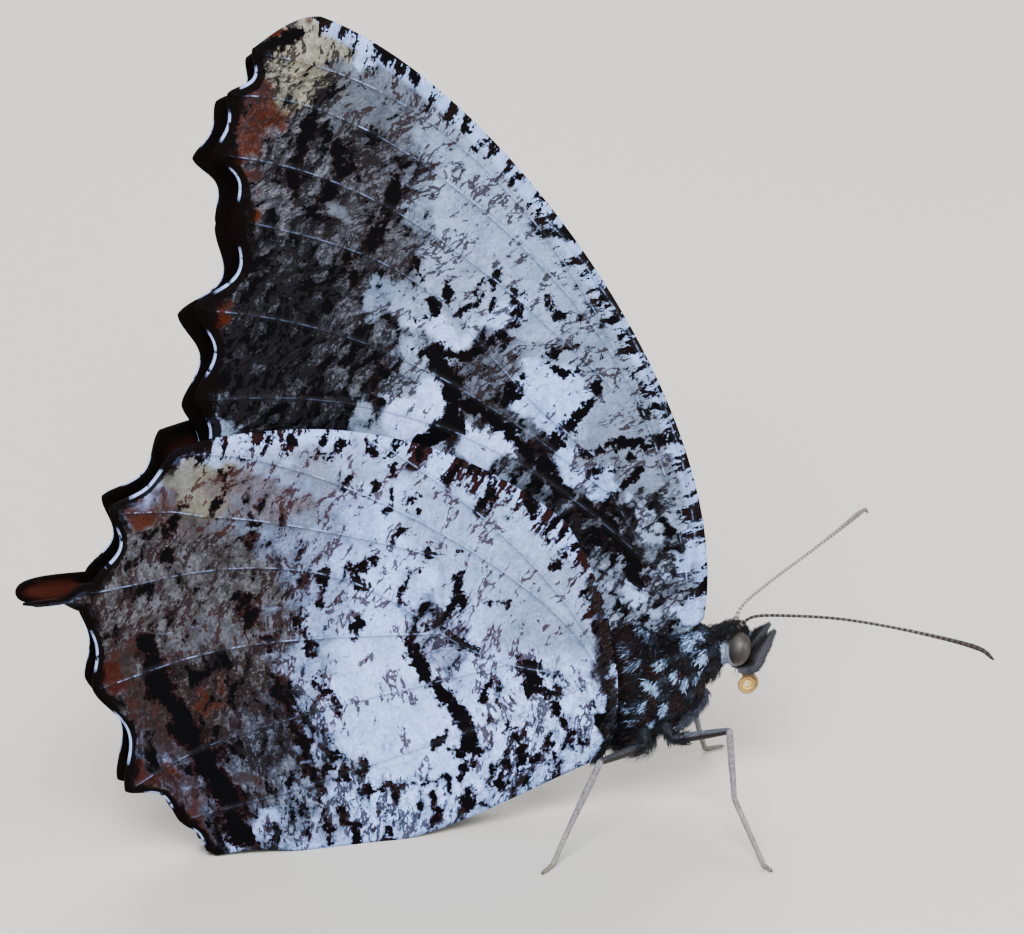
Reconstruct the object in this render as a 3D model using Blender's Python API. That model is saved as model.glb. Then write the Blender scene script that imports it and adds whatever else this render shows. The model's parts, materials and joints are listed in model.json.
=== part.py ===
"""Tiger palmfly at rest, its wings closed over its back, as a set of closed solids.

+X is forward, +Y is the insect's left and +Z is up, with the floor at Z = 0. Sizes are in
millimetres, and each mesh is written in metres. The right side faces -Y.
"""

import math

import bpy
import numpy as np
from mathutils import Matrix, Vector
from mathutils.geometry import delaunay_2d_cdt

MM = 0.001
GAP = 0.3  # between nodes that grow from one another
PLAN_SHIFT = (0.56, -0.065, 0.0)  # brings the middle of the whole to X = Y = 0

# Chest, an ellipsoid leaning forward in the plane Y = 0
THORAX_CENTRE = (9.4, 7.1)
THORAX_LONG = 3.85
THORAX_DEEP = 2.65
THORAX_HALF_WIDTH = 2.15
THORAX_LEAN = math.radians(50)

# Abdomen, from behind the chest to its tip between the hindwings
ABDOMEN_PATH = ((5.8, 7.0), (2.8, 6.3), (-1.2, 4.6), (-5.6, 2.5))
ABDOMEN_RADII = (1.15, 1.4, 1.3, 0.95, 0.4)

# Head, eyes and mouthparts
HEAD_CENTRE = (13.85, 0.0, 8.85)
HEAD_HALF = (0.98, 0.6, 1.12)
EYE_CENTRE = (13.8, 8.9)
EYE_HALF = (0.8, 1.1)
EYE_FACE = HEAD_HALF[1] + GAP
EYE_BULGE = 0.98
PALP_RADIUS = 0.27
COIL_CENTRE = (14.75, 6.35)
COIL_RADIUS = 0.62
COIL_TURNS = 1.35
COIL_WIRE = (0.25, 0.15)
ANTENNA_RADIUS = 0.25
CLUB_RADIUS = 0.3

# Legs
COXA_RADIUS = 0.42
FEMUR_RADIUS = 0.33
TIBIA_RADIUS = 0.27
TARSUS_RADIUS = 0.25

# Wings: one thickness, two leaves a side, and ridges where the main veins run
WING_THICK = 0.5
RIDGE_HEIGHT = 0.12
RIDGE_HALF_WIDTH = 0.38
FORE_OFFSET = 0.45
HIND_OFFSET = 1.45
HIND_BULGE = 0.72  # over the abdomen
HIND_CLOSING = 0.6  # how much nearer each other the hindwings' outer parts lie
FAR_LEAN = 1.15  # of the left forewing's tip, away from the right one
FAR_TURN = math.radians(1.6)  # of the left forewing, towards the tail
FAR_APEX_PULL = 1.25  # of the left forewing's apex, forward
FAR_APEX_DROP = 0.6  # and down
FORE_ROOT = (11.6, 10.4)
FORE_TOP = 49.4

FORE_EDGES = {
    "costa": ((12.1, 10.9), (13.99, 23.08), (0.3, 44.31), (-9.94, 49.32)),
    "apex": ((-9.94, 49.32), (-11.3, 49.6), (-12.6, 48.7), (-13.87, 47.9)),
    "inner": ((-16.8, 23.4), (-8.0, 19.2), (2.5, 14.6), (8.4, 11.2)),
}
# Where each vein ends in a lobe of the outer margin, and the depth of the bay after it
FORE_LOBES = (
    ("R5", (-13.87, 47.9), 0.9),
    ("M1", (-15.3, 45.4), 0.45),
    ("M2", (-16.1, 42.0), 0.8),
    ("M3", (-14.9, 38.0), 1.5),
    ("CuA1", (-17.3, 33.0), 1.15),
    ("CuA2", (-17.3, 27.6), 0.6),
    ("2A", (-16.8, 23.4), 0.0),
)
FORE_VEINS = {
    "Sc": ((11.4, 12.2), (12.2, 21.5), (7.2, 30.6), (2.8, 36.1)),
    "R": ((11.1, 12.0), (10.2, 24.6), (0.9, 44.3), (-13.4, 47.6)),
    "M1": ((7.4, 26.0), (4.3, 32.8), (-7.0, 45.1), (-14.9, 45.3)),
    "M2": ((6.6, 25.6), (0.8, 32.3), (-6.9, 40.4), (-15.7, 41.9)),
    "M3": ((5.6, 21.6), (-3.7, 30.3), (-0.8, 33.5), (-14.5, 37.9)),
    "CuA1": ((6.5, 19.2), (-0.9, 26.0), (-7.0, 31.2), (-16.9, 32.9)),
    "CuA2": ((8.6, 14.8), (1.3, 23.0), (-6.1, 27.3), (-16.9, 27.5)),
    "2A": ((9.9, 12.0), (2.0, 17.6), (-7.0, 22.3), (-16.3, 24.1)),
    "Cu": ((10.8, 12.0), (8.5, 15.0), (6.6, 18.9), (5.6, 21.6)),
    "cell": ((5.6, 21.6), (4.9, 23.6), (5.5, 25.4), (7.4, 26.0)),
}

HIND_HINGE = (6.55, 9.3)
HIND_EDGES = {
    "shoulder": (HIND_HINGE, (6.3, 12.6), (5.2, 15.6), (3.7, 18.15)),
    "costa": ((3.7, 18.15), (-2.5, 23.9), (-8.6, 26.1), (-17.1, 25.5)),
    "tail": ((-23.3, 17.4), (-24.9, 17.45), (-27.3, 17.6), (-27.3, 16.6)),
    "under tail": ((-27.3, 16.6), (-27.3, 15.6), (-24.9, 15.8), (-23.9, 15.7)),
    "rest": ((-16.4, 0.1), (-14.6, 0.4), (-13.4, 0.35), (-12.0, 0.0)),
    "inner": ((-6.2, 0.0), (-2.4, 0.2), (2.4, 2.55), (5.7, 3.5)),
    "front": ((5.7, 3.5), (6.6, 4.2), (6.5, 7.0), HIND_HINGE),
}
HIND_LOBES = (
    ("apex", (-17.1, 25.5), 0.0),
    ("Rs", (-18.8, 25.1), 0.75),
    ("M1", (-22.3, 21.8), 1.1),
    ("tail", (-23.3, 17.4), 0.0),
)
HIND_LOWER_LOBES = (
    ("tail", (-23.9, 15.7), 0.5),
    ("CuA1", (-23.4, 11.0), 1.15),
    ("CuA2", (-21.6, 4.6), 0.8),
    ("2A", (-18.4, 2.3), 0.3),
    ("tornus", (-16.9, 0.3), 0.0),
)
HIND_VEINS = {
    "Sc": ((-6.9, 24.1), (-2.2, 20.5), (2.6, 15.8), (5.5, 10.2)),
    "Rs": ((-18.3, 24.8), (-11.9, 25.2), (2.8, 15.2), (5.3, 9.6)),
    "M1": ((-21.8, 21.5), (-16.0, 21.3), (-9.6, 19.4), (-3.7, 17.0)),
    "M3": ((-26.6, 16.7), (-17.9, 16.9), (-11.7, 20.2), (-3.8, 12.5)),
    "CuA1": ((-23.0, 11.1), (-14.7, 13.5), (-12.7, 13.2), (-3.8, 12.4)),
    "CuA2": ((-21.2, 4.8), (-15.3, 8.7), (-7.4, 8.8), (0.0, 10.0)),
    "2A": ((-17.9, 2.6), (-10.0, 4.2), (-1.0, 6.3), (5.2, 8.7)),
    "Cu": ((-3.8, 12.5), (-1.2, 10.4), (2.1, 8.9), (5.4, 9.0)),
    "cell": ((-4.1, 19.2), (-3.5, 17.4), (-3.3, 14.5), (-3.8, 12.5)),
}
# The right hindwing's tail is curled edge-on, from this X to its tip
TAIL_CURL_FROM = -23.6
TAIL_CURL_DONE = -25.4
TAIL_AXIS_Z = 16.6
TAIL_CURL = math.radians(67)


def clear_scene():
    for obj in list(bpy.data.objects):
        bpy.data.objects.remove(obj, do_unlink=True)


def material(name, colour, roughness):
    mat = bpy.data.materials.new(name)
    mat.use_nodes = True
    shader = mat.node_tree.nodes["Principled BSDF"]
    shader.inputs["Base Color"].default_value = (*colour, 1.0)
    shader.inputs["Roughness"].default_value = roughness
    return mat


def add_node(name, points, faces, colour, roughness=0.6):
    """Makes one object from points in millimetres."""
    mesh = bpy.data.meshes.new(name)
    placed = [tuple((float(v) + shift) * MM for v, shift in zip(p, PLAN_SHIFT)) for p in points]
    mesh.from_pydata(placed, [], faces)
    mesh.polygons.foreach_set("use_smooth", [True] * len(mesh.polygons))
    mesh.update()
    obj = bpy.data.objects.new(name, mesh)
    obj.data.materials.append(material(name, colour, roughness))
    bpy.context.scene.collection.objects.link(obj)
    return obj


def bezier(handles, count):
    a, b, c, d = (np.array(h, float) for h in handles)
    t = np.linspace(0.0, 1.0, count)[:, None]
    s = 1.0 - t
    return s**3 * a + 3 * s**2 * t * b + 3 * s * t**2 * c + t**3 * d


def length_of(points):
    return float(np.linalg.norm(np.diff(points, axis=0), axis=1).sum())


def resampled(points, step):
    """The same line with points this far apart."""
    points = np.asarray(points, float)
    along = np.r_[0.0, np.cumsum(np.linalg.norm(np.diff(points, axis=0), axis=1))]
    count = max(2, round(along[-1] / step) + 1)
    at = np.linspace(0.0, along[-1], count)
    return np.stack([np.interp(at, along, column) for column in points.T], 1)


def curve_through(points, per_span=6):
    """A Catmull-Rom curve through the points."""
    p = np.asarray(points, float)
    p = np.vstack([2 * p[0] - p[1], p, 2 * p[-1] - p[-2]])
    out = []
    for i in range(1, len(p) - 2):
        for t in np.linspace(0.0, 1.0, per_span, endpoint=False):
            a = 2 * p[i]
            b = p[i + 1] - p[i - 1]
            c = 2 * p[i - 1] - 5 * p[i] + 4 * p[i + 1] - p[i + 2]
            d = 3 * p[i] - p[i - 1] - 3 * p[i + 1] + p[i + 2]
            out.append(0.5 * (a + b * t + c * t**2 + d * t**3))
    out.append(p[-2])
    return np.array(out)


def tube(path, radii, sides, across=1.0):
    """A closed tube along a path, its ends drawn to a point. The radii are one a path point."""
    path = np.asarray(path, float)
    points = []
    side = Vector((0.0, 1.0, 0.0))
    for i, centre in enumerate(path):
        into = Vector(centre) - Vector(path[max(i - 1, 0)])
        out_of = Vector(path[min(i + 1, len(path) - 1)]) - Vector(centre)
        along = (into.normalized() + out_of.normalized()).normalized()
        side = (side - along * side.dot(along)).normalized()
        up = along.cross(side)
        for k in range(sides):
            turn = 2 * math.pi * k / sides
            offset = side * math.cos(turn) * radii[i] * across + up * math.sin(turn) * radii[i]
            points.append(Vector(centre) + offset)
    faces = []
    for i in range(len(path) - 1):
        for k in range(sides):
            a = i * sides + k
            b = i * sides + (k + 1) % sides
            faces.append((a, b, b + sides, a + sides))
    start = len(points)
    points.append(Vector(path[0]))
    points.append(Vector(path[-1]))
    last = (len(path) - 1) * sides
    for k in range(sides):
        faces.append((start, (k + 1) % sides, k))
        faces.append((start + 1, last + k, last + (k + 1) % sides))
    return points, faces


def outward(points, faces):
    """Turns the faces round if they enclose a negative volume."""
    p = np.array([tuple(v) for v in points])
    volume = 0.0
    for face in faces:
        for i in range(1, len(face) - 1):
            volume += np.dot(p[face[0]], np.cross(p[face[i]], p[face[i + 1]]))
    return faces if volume > 0 else [tuple(reversed(face)) for face in faces]


def thorax_axes():
    along = np.array((math.cos(THORAX_LEAN), math.sin(THORAX_LEAN)))
    return along, np.array((along[1], -along[0]))


def on_thorax(turn, y, out):
    """A point off the chest: turn is the angle round Y from +X, and out the distance from its skin."""
    along, deep = thorax_axes()
    width = math.sqrt(max(0.0, 1.0 - (y / THORAX_HALF_WIDTH) ** 2))
    ray = np.array((math.cos(turn), math.sin(turn)))
    reach = width / math.hypot(ray @ along / THORAX_LONG, ray @ deep / THORAX_DEEP)
    normal = along * (ray @ along) * reach / THORAX_LONG**2 + deep * (ray @ deep) * reach / THORAX_DEEP**2
    normal = np.array((normal[0], y / THORAX_HALF_WIDTH**2, normal[1]))
    normal /= np.linalg.norm(normal)
    centre = np.array(THORAX_CENTRE) + ray * reach
    return np.array((centre[0], y, centre[1])) + normal * out


def thorax_top(x, y):
    """Height of the chest's back over this X and Y."""
    best = 0.0
    for turn in np.linspace(0.0, math.pi, 721):
        point = on_thorax(turn, y, 0.0)
        if abs(point[0] - x) < 0.05:
            best = max(best, point[2])
    return best


def make_thorax():
    rings = 14
    sides = 24
    along, deep = thorax_axes()
    points = []
    faces = []
    for i in range(1, rings):
        lat = math.pi * i / rings
        for k in range(sides):
            turn = 2 * math.pi * k / sides
            place = (
                np.array(THORAX_CENTRE)
                - along * THORAX_LONG * math.cos(lat)
                + deep * THORAX_DEEP * math.sin(lat) * math.cos(turn)
            )
            points.append((place[0], THORAX_HALF_WIDTH * math.sin(lat) * math.sin(turn), place[1]))
    for i in range(rings - 2):
        for k in range(sides):
            a = i * sides + k
            b = i * sides + (k + 1) % sides
            faces.append((a, b, b + sides, a + sides))
    for end, ring in ((-1.0, 0), (1.0, rings - 2)):
        place = np.array(THORAX_CENTRE) + along * THORAX_LONG * end
        points.append((place[0], 0.0, place[1]))
        for k in range(sides):
            pair = (ring * sides + k, ring * sides + (k + 1) % sides)
            faces.append((len(points) - 1, *(pair if end > 0 else pair[::-1])))
    add_node("thorax", points, outward(points, faces), (0.03, 0.028, 0.03))


def abdomen_path():
    flat = bezier(ABDOMEN_PATH, 17)
    return np.stack([flat[:, 0], np.zeros(len(flat)), flat[:, 1]], 1)


def abdomen_radius(share):
    """Half width of the abdomen at this share of its length."""
    radius = float(np.interp(share, np.linspace(0.0, 1.0, len(ABDOMEN_RADII)), ABDOMEN_RADII))
    ends = min(share / 0.06, (1.0 - share) / 0.05, 1.0)
    return radius * math.sqrt(max(0.16, 1.0 - (1.0 - ends) ** 2))


def make_abdomen():
    path = abdomen_path()
    shares = np.linspace(0.0, 1.0, len(path))
    points, faces = tube(path, [abdomen_radius(s) for s in shares], 20)
    add_node("abdomen", points, outward(points, faces), (0.05, 0.035, 0.03))


def rounded_block(centre, half, power, rings=12, sides=20):
    """A superellipsoid, a little squarer than an ellipsoid."""

    def shaped(value):
        return math.copysign(abs(value) ** power, value)

    points = []
    faces = []
    for i in range(1, rings):
        lat = math.pi * i / rings
        for k in range(sides):
            turn = 2 * math.pi * k / sides
            points.append(
                (
                    centre[0] + half[0] * shaped(math.sin(lat)) * shaped(math.cos(turn)),
                    centre[1] - half[1] * shaped(math.cos(lat)),
                    centre[2] + half[2] * shaped(math.sin(lat)) * shaped(math.sin(turn)),
                )
            )
    for i in range(rings - 2):
        for k in range(sides):
            a = i * sides + k
            b = i * sides + (k + 1) % sides
            faces.append((a, b, b + sides, a + sides))
    for end, ring in ((-1.0, 0), (1.0, rings - 2)):
        points.append((centre[0], centre[1] + half[1] * end, centre[2]))
        for k in range(sides):
            pair = (ring * sides + k, ring * sides + (k + 1) % sides)
            faces.append((len(points) - 1, *(pair if end > 0 else pair[::-1])))
    return points, faces


def make_head():
    points, faces = rounded_block(HEAD_CENTRE, HEAD_HALF, 0.8)
    add_node("head", points, outward(points, faces), (0.04, 0.035, 0.035))


def make_eye(name, side):
    """A dome with its flat face to the side of the head."""
    rings = 7
    sides = 20
    points = []
    faces = []
    for i in range(rings):
        lat = 0.5 * math.pi * i / rings
        for k in range(sides):
            turn = 2 * math.pi * k / sides
            points.append(
                (
                    EYE_CENTRE[0] + EYE_HALF[0] * math.cos(lat) * math.cos(turn),
                    side * (EYE_FACE + EYE_BULGE * math.sin(lat)),
                    EYE_CENTRE[1] + EYE_HALF[1] * math.cos(lat) * math.sin(turn),
                )
            )
    for i in range(rings - 1):
        for k in range(sides):
            a = i * sides + k
            b = i * sides + (k + 1) % sides
            faces.append((a, b, b + sides, a + sides))
    points.append((EYE_CENTRE[0], side * EYE_FACE, EYE_CENTRE[1]))
    points.append((EYE_CENTRE[0], side * (EYE_FACE + EYE_BULGE), EYE_CENTRE[1]))
    for k in range(sides):
        after = (k + 1) % sides
        faces.append((len(points) - 2, after, k))
        faces.append((len(points) - 1, (rings - 1) * sides + k, (rings - 1) * sides + after))
    add_node(name, points, outward(points, faces), (0.12, 0.09, 0.08), 0.2)


def make_palp(name, side):
    path = curve_through(
        (
            (14.25, side * 0.8, 7.3),
            (14.75, side * 0.78, 7.55),
            (15.2, side * 0.7, 8.3),
            (15.7, side * 0.6, 9.2),
            (16.1, side * 0.5, 9.95),
        )
    )
    shares = np.linspace(0.0, 1.0, len(path))
    radii = [float(np.interp(s, (0, 0.06, 0.7, 1), (0.15, PALP_RADIUS, PALP_RADIUS, 0.07))) for s in shares]
    points, faces = tube(path, radii, 10)
    add_node(name, points, outward(points, faces), (0.2, 0.2, 0.22))


def make_proboscis():
    """A coiled tongue under the head, in the plane Y = 0."""
    path = [(COIL_CENTRE[0] + COIL_RADIUS, 0.0, HEAD_CENTRE[2] - HEAD_HALF[2] - 0.25)]
    count = 30
    for i in range(count):
        share = i / (count - 1)
        turn = -2 * math.pi * COIL_TURNS * share
        reach = COIL_RADIUS * (1 - share) + 0.12 * share
        path.append((COIL_CENTRE[0] + reach * math.cos(turn), 0.0, COIL_CENTRE[1] + reach * math.sin(turn)))
    radii = [COIL_WIRE[1]] * len(path)
    radii[-1] = 0.08
    points, faces = tube(path, radii, 10, COIL_WIRE[0] / COIL_WIRE[1])
    add_node("proboscis", points, outward(points, faces), (0.35, 0.16, 0.06), 0.4)


def make_antenna(name, places):
    path = curve_through(places, 5)
    shares = np.linspace(0.0, 1.0, len(path))
    stops = (0.0, 0.05, 0.7, 0.9, 0.97, 1.0)
    sizes = (0.2, ANTENNA_RADIUS, ANTENNA_RADIUS, CLUB_RADIUS, 0.25, 0.1)
    radii = [float(np.interp(s, stops, sizes)) for s in shares]
    points, faces = tube(path, radii, 8)
    add_node(name, points, outward(points, faces), (0.1, 0.06, 0.04))


def limb(joints, radii, step=0.9):
    """A tube from joint to joint, with a ring on each side of a joint, far enough apart not to cross."""
    joints = [np.array(j, float) for j in joints]
    ways = [(b - a) / np.linalg.norm(b - a) for a, b in zip(joints, joints[1:])]
    clear = [0.0]
    for i in range(1, len(joints) - 1):
        half_bend = 0.5 * math.acos(float(np.clip(ways[i - 1] @ ways[i], -1.0, 1.0)))
        clear.append(1.2 * radii[i] * math.tan(half_bend) + 0.06)
    clear.append(0.0)
    path = []
    sizes = []
    for i, (a, b) in enumerate(zip(joints, joints[1:])):
        span = np.linalg.norm(b - a)
        near = clear[i] / span
        far = 1.0 - clear[i + 1] / span
        for share in np.linspace(near, far, max(2, round(span * (far - near) / step) + 1)):
            path.append(a + (b - a) * share)
            sizes.append(radii[i] + (radii[i + 1] - radii[i]) * share)
    return path, sizes


def make_leg(name, turn, side, root_y, knee, ankle, foot, toe):
    """One walking leg. It grows from the chest's skin and ends on a flat at Z = 0."""
    root = on_thorax(turn, side * root_y, GAP)
    hip = on_thorax(turn, side * root_y, GAP + 0.7)
    joints = [root, hip, knee, ankle, foot, toe]
    radii = [COXA_RADIUS, COXA_RADIUS, FEMUR_RADIUS, TIBIA_RADIUS, TARSUS_RADIUS, TARSUS_RADIUS]
    path, sizes = limb(joints, radii)
    points, faces = tube(path, sizes, 10)
    for point in points:
        point.z = max(point.z, 0.0)
    add_node(name, points, outward(points, faces), (0.3, 0.3, 0.26))


def make_foreleg(name, side):
    """The short front leg, folded against the chest."""
    places = [
        on_thorax(math.radians(-12), side * 0.75, GAP + 0.05),
        on_thorax(math.radians(-16), side * 0.8, GAP + 0.4),
        on_thorax(math.radians(-35), side * 0.9, GAP + 0.42),
        on_thorax(math.radians(-55), side * 1.0, GAP + 0.36),
        on_thorax(math.radians(-66), side * 1.0, GAP + 0.32),
    ]
    path = curve_through(places, 4)
    shares = np.linspace(0.0, 1.0, len(path))
    radii = [float(np.interp(s, (0, 0.2, 0.8, 1), (0.2, 0.29, 0.26, 0.12))) for s in shares]
    points, faces = tube(path, radii, 8)
    add_node(name, points, outward(points, faces), (0.06, 0.05, 0.05))


def scalloped(lobes, inside, step=0.55):
    """The outer margin from lobe to lobe, each bay dipping towards the inside point."""
    out = []
    for (_, start, depth), (_, end, _) in zip(lobes, lobes[1:]):
        a, b = np.array(start, float), np.array(end, float)
        chord = b - a
        normal = np.array((chord[1], -chord[0])) / np.linalg.norm(chord)
        if normal @ (np.array(inside) - a) < 0:
            normal = -normal
        count = max(2, round(np.linalg.norm(chord) / step))
        for t in np.linspace(0.0, 1.0, count, endpoint=False):
            out.append(a + chord * t + normal * depth * (0.5 - 0.5 * math.cos(2 * math.pi * t)) ** 0.85)
    out.append(np.array(lobes[-1][1], float))
    return np.array(out)


def edge(handles, step=1.3):
    return resampled(bezier(handles, 60), step)


def joined(*pieces):
    """One closed outline from lines laid end to end."""
    line = np.vstack(pieces)
    keep = [0]
    for i in range(1, len(line)):
        if np.linalg.norm(line[i] - line[keep[-1]]) > 0.12:
            keep.append(i)
    if np.linalg.norm(line[keep[-1]] - line[keep[0]]) < 0.12:
        keep.pop()
    return line[keep]


def fore_outline():
    inside = (-3.0, 30.0)
    xs = np.linspace(8.5, 12.05, 5)
    base = np.array([(x, max(thorax_top(x, 0.2), thorax_top(x, 0.7)) + GAP) for x in xs])
    costa = edge((base[-1], *FORE_EDGES["costa"][1:]))
    inner = edge((*FORE_EDGES["inner"][:3], base[0]))
    return joined(costa, edge(FORE_EDGES["apex"], 0.6), scalloped(FORE_LOBES, inside), inner, base)


def hind_outline():
    inside = (-8.0, 12.0)
    flat = np.array([(-12.0, 0.0), (-9.1, 0.0), (-6.2, 0.0)])
    return joined(
        edge(HIND_EDGES["shoulder"]),
        edge(HIND_EDGES["costa"]),
        scalloped(HIND_LOBES, inside),
        edge(HIND_EDGES["tail"], 0.7),
        edge(HIND_EDGES["under tail"], 0.7),
        scalloped(HIND_LOWER_LOBES, inside),
        edge(HIND_EDGES["rest"]),
        flat,
        edge(HIND_EDGES["inner"]),
        edge(HIND_EDGES["front"]),
    )


def within(point, outline):
    """Whether a point lies inside a closed outline."""
    x, z = point
    a = outline
    b = np.roll(outline, -1, axis=0)
    crosses = (a[:, 1] > z) != (b[:, 1] > z)
    with np.errstate(divide="ignore", invalid="ignore"):
        at = a[:, 0] + (z - a[:, 1]) / (b[:, 1] - a[:, 1]) * (b[:, 0] - a[:, 0])
    return bool((crosses & (x < at)).sum() % 2)


def leaf(outline, veins, spacing=2.5, vein_step=1.9):
    """Points and triangles of a wing laid flat, with each vein's crest marked."""
    points = [tuple(p) for p in outline]
    crest = [0.0] * len(points)
    ring = [(i, (i + 1) % len(points)) for i in range(len(points))]

    def try_add(point, clear, height):
        if not within(point, outline):
            return
        gaps = np.linalg.norm(np.array(points) - np.array(point), axis=1)
        if gaps.min() > clear:
            points.append(tuple(point))
            crest.append(height)

    lines = [resampled(bezier(handles, 60), vein_step) for handles in veins.values()]
    for line in lines:
        for point in line:
            try_add(point, 0.5, 1.0)
    for line in lines:
        along = np.gradient(line, axis=0)
        along /= np.linalg.norm(along, axis=1)[:, None]
        for sign in (-1.0, 1.0):
            for point, way in zip(line, along):
                try_add(point + sign * RIDGE_HALF_WIDTH * np.array((way[1], -way[0])), 0.3, 0.0)
    low = outline.min(axis=0)
    high = outline.max(axis=0)
    row = 0
    z = low[1]
    while z < high[1]:
        x = low[0] + (row % 2) * spacing / 2
        while x < high[0]:
            try_add((x, z), 0.42 * spacing, 0.0)
            x += spacing
        row += 1
        z += spacing * math.sqrt(3) / 2
    made = delaunay_2d_cdt([Vector(p) for p in points], ring, [], 1, 1e-5)
    flat = np.array([tuple(p) for p in made[0]])
    heights = np.array([crest[ids[0]] if ids else 0.0 for ids in made[3]])
    return flat, heights, [tuple(face) for face in made[2]]


def wing(name, side, flat, heights, faces, middle, place, colour):
    """Thickens a flat wing both ways from its middle surface, raising the crests outside."""
    count = len(flat)
    points = []
    for sign in (1.0, -1.0):
        for (x, z), height in zip(flat, heights):
            lift = 0.5 * WING_THICK + (RIDGE_HEIGHT * height if sign > 0 else 0.0)
            points.append(place(x, side * (middle(x, z) + sign * lift), z))
    used = {}
    for face in faces:
        for a, b in zip(face, face[1:] + face[:1]):
            used[(a, b)] = True
    sheets = list(faces) + [tuple(i + count for i in reversed(face)) for face in faces]
    rim = [(b, a, a + count, b + count) for a, b in used if (b, a) not in used]
    add_node(name, points, outward(points, sheets + rim), colour)


def smooth(value):
    """A smooth step from 0 to 1."""
    value = min(max(value, 0.0), 1.0)
    return value * value * (3 - 2 * value)


def fore_middle(x, z):
    return FORE_OFFSET


def closing(x, z):
    """How much nearer the hindwings come behind and below the forewings, where nothing lies between them."""
    return HIND_CLOSING * smooth((-x - 11.0) / 8.0) * smooth((22.0 - z + 2.0 * max(0.0, -17.3 - x)) / 4.0)


def hind_middle(x, z):
    """Half the space between the hindwings, wider where the abdomen lies between them."""
    path = abdomen_path()
    reach = np.hypot(path[:, 0] - x, path[:, 2] - z).min()
    swell = math.exp(-((reach / 2.6) ** 4))
    fade = float(np.interp(x, (-8.0, 0.0, 3.0), (0.1, 0.85, 1.0)))
    return HIND_OFFSET + HIND_BULGE * swell * fade - closing(x, z)


def as_is(x, y, z):
    return (x, y, z)


def curled_tail(x, y, z):
    """Turns the right tail about its own length until it is seen edge-on."""
    share = (TAIL_CURL_FROM - x) / (TAIL_CURL_FROM - TAIL_CURL_DONE)
    if share <= 0.0:
        return (x, y, z)
    turn = TAIL_CURL * smooth(share)
    dz = z - TAIL_AXIS_Z
    axis_y = -(HIND_OFFSET - HIND_CLOSING)
    dy = y - axis_y
    return (
        x,
        axis_y + dy * math.cos(turn) - dz * math.sin(turn),
        TAIL_AXIS_Z + dz * math.cos(turn) + dy * math.sin(turn),
    )


def leaning(x, y, z):
    """The left forewing, turned a little back about its root and leaning out at its tip."""
    turned = Matrix.Rotation(FAR_TURN, 2) @ Vector((x - FORE_ROOT[0], z - FORE_ROOT[1]))
    height = max(0.0, (z - FORE_ROOT[1]) / (FORE_TOP - FORE_ROOT[1]))
    share = height**1.5
    return (
        x + (turned.x + FORE_ROOT[0] - x) * min(1.0, 4 * height) + FAR_APEX_PULL * smooth((z - 41.0) / 7.5),
        y + FAR_LEAN * share * height**1.5,
        z + (turned.y + FORE_ROOT[1] - z) * min(1.0, 4 * height) - FAR_APEX_DROP * smooth((z - 41.0) / 7.5),
    )


def make_wings():
    pale = (0.45, 0.46, 0.5)
    dark = (0.2, 0.18, 0.17)
    fore = leaf(fore_outline(), FORE_VEINS)
    hind = leaf(hind_outline(), HIND_VEINS)
    wing("forewing_right", -1.0, *fore, fore_middle, as_is, pale)
    wing("forewing_left", 1.0, *fore, fore_middle, leaning, dark)
    wing("hindwing_right", -1.0, *hind, hind_middle, curled_tail, pale)
    wing("hindwing_left", 1.0, *hind, hind_middle, as_is, dark)


def make_legs():
    below = math.radians(-86)
    behind = math.radians(-116)
    make_leg("midleg_right", below, -1.0, 1.5, (12.2, -5.0, 5.9), (11.6, -8.0, 3.1), (12.3, -10.3, 0.24), (12.7, -11.5, 0.22))
    make_leg("midleg_left", below, 1.0, 1.5, (12.3, 4.4, 6.3), (13.5, 5.2, 1.5), (13.9, 5.3, 0.24), (15.0, 5.5, 0.22))
    make_leg("hindleg_right", behind, -1.0, 1.5, (4.9, -4.3, 4.6), (2.3, -6.5, 1.5), (1.2, -7.5, 0.24), (0.4, -8.3, 0.22))
    make_leg("hindleg_left", behind, 1.0, 1.5, (4.9, 4.3, 4.6), (2.4, 6.3, 1.5), (1.4, 7.2, 0.24), (0.8, 8.2, 0.22))


def make_antennae():
    near = (
        (14.3, -0.5, 10.35),
        (14.75, -1.2, 11.0),
        (16.4, -2.6, 11.4),
        (19.0, -4.6, 11.7),
        (22.2, -7.0, 11.6),
        (25.2, -9.2, 11.2),
        (26.1, -9.9, 10.6),
    )
    far = (
        (14.3, 0.5, 10.35),
        (15.0, 1.5, 10.6),
        (17.6, 4.2, 10.7),
        (20.6, 7.2, 10.7),
        (23.2, 9.6, 10.9),
        (25.0, 11.2, 11.1),
        (25.4, 11.5, 10.8),
    )
    make_antenna("antenna_right", near)
    make_antenna("antenna_left", far)


def main():
    clear_scene()
    make_thorax()
    make_abdomen()
    make_head()
    make_eye("eye_right", -1.0)
    make_eye("eye_left", 1.0)
    make_palp("palp_right", -1.0)
    make_palp("palp_left", 1.0)
    make_proboscis()
    make_antennae()
    make_foreleg("foreleg_right", -1.0)
    make_foreleg("foreleg_left", 1.0)
    make_legs()
    make_wings()


main()
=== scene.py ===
"""Tiger palmfly at rest with its wings closed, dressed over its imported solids."""

import json
import logging
import math
from collections.abc import Callable
from dataclasses import dataclass
from enum import Enum

import bpy
import numpy as np
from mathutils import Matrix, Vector
from mathutils.geometry import delaunay_2d_cdt

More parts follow.
